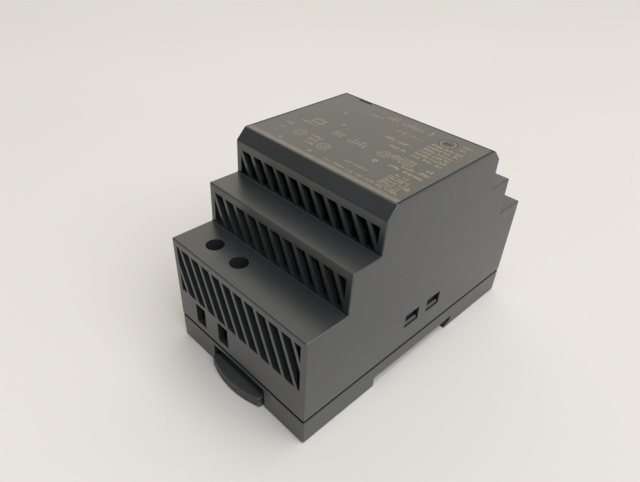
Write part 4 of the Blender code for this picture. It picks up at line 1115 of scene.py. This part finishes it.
def add_soft_lamp():
    light = bpy.data.lights.new("soft_lamp", "AREA")
    light.shape = "RECTANGLE"
    light.size, light.size_y = LAMP_SIZE
    light.energy = LAMP_POWER
    light.color = LAMP_COLOUR
    lamp = bpy.data.objects.new("soft_lamp", light)
    lamp.location = LAMP_PLACE
    lamp.rotation_euler = (LAMP_TARGET - Vector(LAMP_PLACE)).to_track_quat("-Z", "Y").to_euler()
    bpy.context.scene.collection.objects.link(lamp)


def add_glow(sky, direction, towards, start, end, strength):
    """A soft patch of brightness round one direction of the sky, as a strength socket."""
    dot = sky.node("ShaderNodeVectorMath", operation="DOT_PRODUCT")
    sky.link(direction, dot.inputs[0])
    dot.inputs[1].default_value = Vector(towards).normalized()
    ramp = sky.node("ShaderNodeMapRange", interpolation_type="SMOOTHSTEP")
    sky.put(ramp, Value=dot.outputs["Value"], From_Min=start, From_Max=end, To_Max=strength)
    return ramp.outputs["Result"]


def light_scene():
    """A pale room: a bright, warm wall beyond the object on the left and a soft lamp on the right.

    The camera itself sees an even backdrop in place of the wall.
    """
    world = bpy.data.worlds.new("room")
    bpy.context.scene.world = world
    world.use_nodes = True
    sky = Nodes(world.node_tree)
    background = sky.tree.nodes["Background"]
    direction = sky.node("ShaderNodeTexCoord").outputs["Generated"]
    to_camera = sky.node("ShaderNodeLightPath").outputs["Is Camera Ray"]
    strength = AMBIENT
    for glow in (WALL_GLOW, SIDE_GLOW):
        strength = sky.math("ADD", add_glow(sky, direction, *glow), strength)
    backdrop = sky.node("ShaderNodeMix")
    sky.link(to_camera, backdrop.inputs[0])
    sky.link(strength, backdrop.inputs[2])
    backdrop.inputs[3].default_value = BACKDROP
    sky.link(backdrop.outputs[0], background.inputs["Strength"])
    wall_share = add_glow(sky, direction, *WALL_GLOW[:3], 1.0)
    warm_share = sky.math("SUBTRACT", wall_share, to_camera)
    sky.link(sky.mix(warm_share, ROOM_COLOUR, WALL_COLOUR), background.inputs["Color"])
    add_soft_lamp()


def place_camera():
    """Looks along the azimuth and elevation, turned about the view by the roll."""
    back = Vector((
        math.sin(CAMERA_AZIMUTH) * math.cos(CAMERA_ELEVATION),
        -math.cos(CAMERA_AZIMUTH) * math.cos(CAMERA_ELEVATION),
        math.sin(CAMERA_ELEVATION),
    ))
    right = (-back).cross(Vector((0, 0, 1))).normalized()
    up = right.cross(-back)
    turned_right = right * math.cos(CAMERA_ROLL) + up * math.sin(CAMERA_ROLL)
    turned_up = up * math.cos(CAMERA_ROLL) - right * math.sin(CAMERA_ROLL)
    rotation = Matrix((turned_right, turned_up, back)).transposed().to_4x4()
    camera = bpy.data.cameras.new("camera")
    camera.lens = CAMERA_LENS
    camera.sensor_width = 36.0
    camera.shift_y = CAMERA_SHIFT
    camera.clip_start = 1 * MM
    holder = bpy.data.objects.new("camera", camera)
    holder.matrix_world = Matrix.Translation(CAMERA_PLACE) @ rotation
    bpy.context.scene.collection.objects.link(holder)
    bpy.context.scene.camera = holder


def set_tone():
    """A plain display curve with a little contrast."""
    view = bpy.context.scene.view_settings
    view.view_transform = "Standard"
    view.look = "Medium High Contrast"


def main():
    """Builds the pieces and the scene."""
    build_cover()
    build_front_print_and_painted_light()
    build_side_print()
    build_base()
    build_latch()
    build_lens()
    build_dial()
    build_spring()
    carry_over_the_rest()
    build_floor()
    light_scene()
    place_camera()
    set_tone()
    bpy.context.view_layer.update()


main()
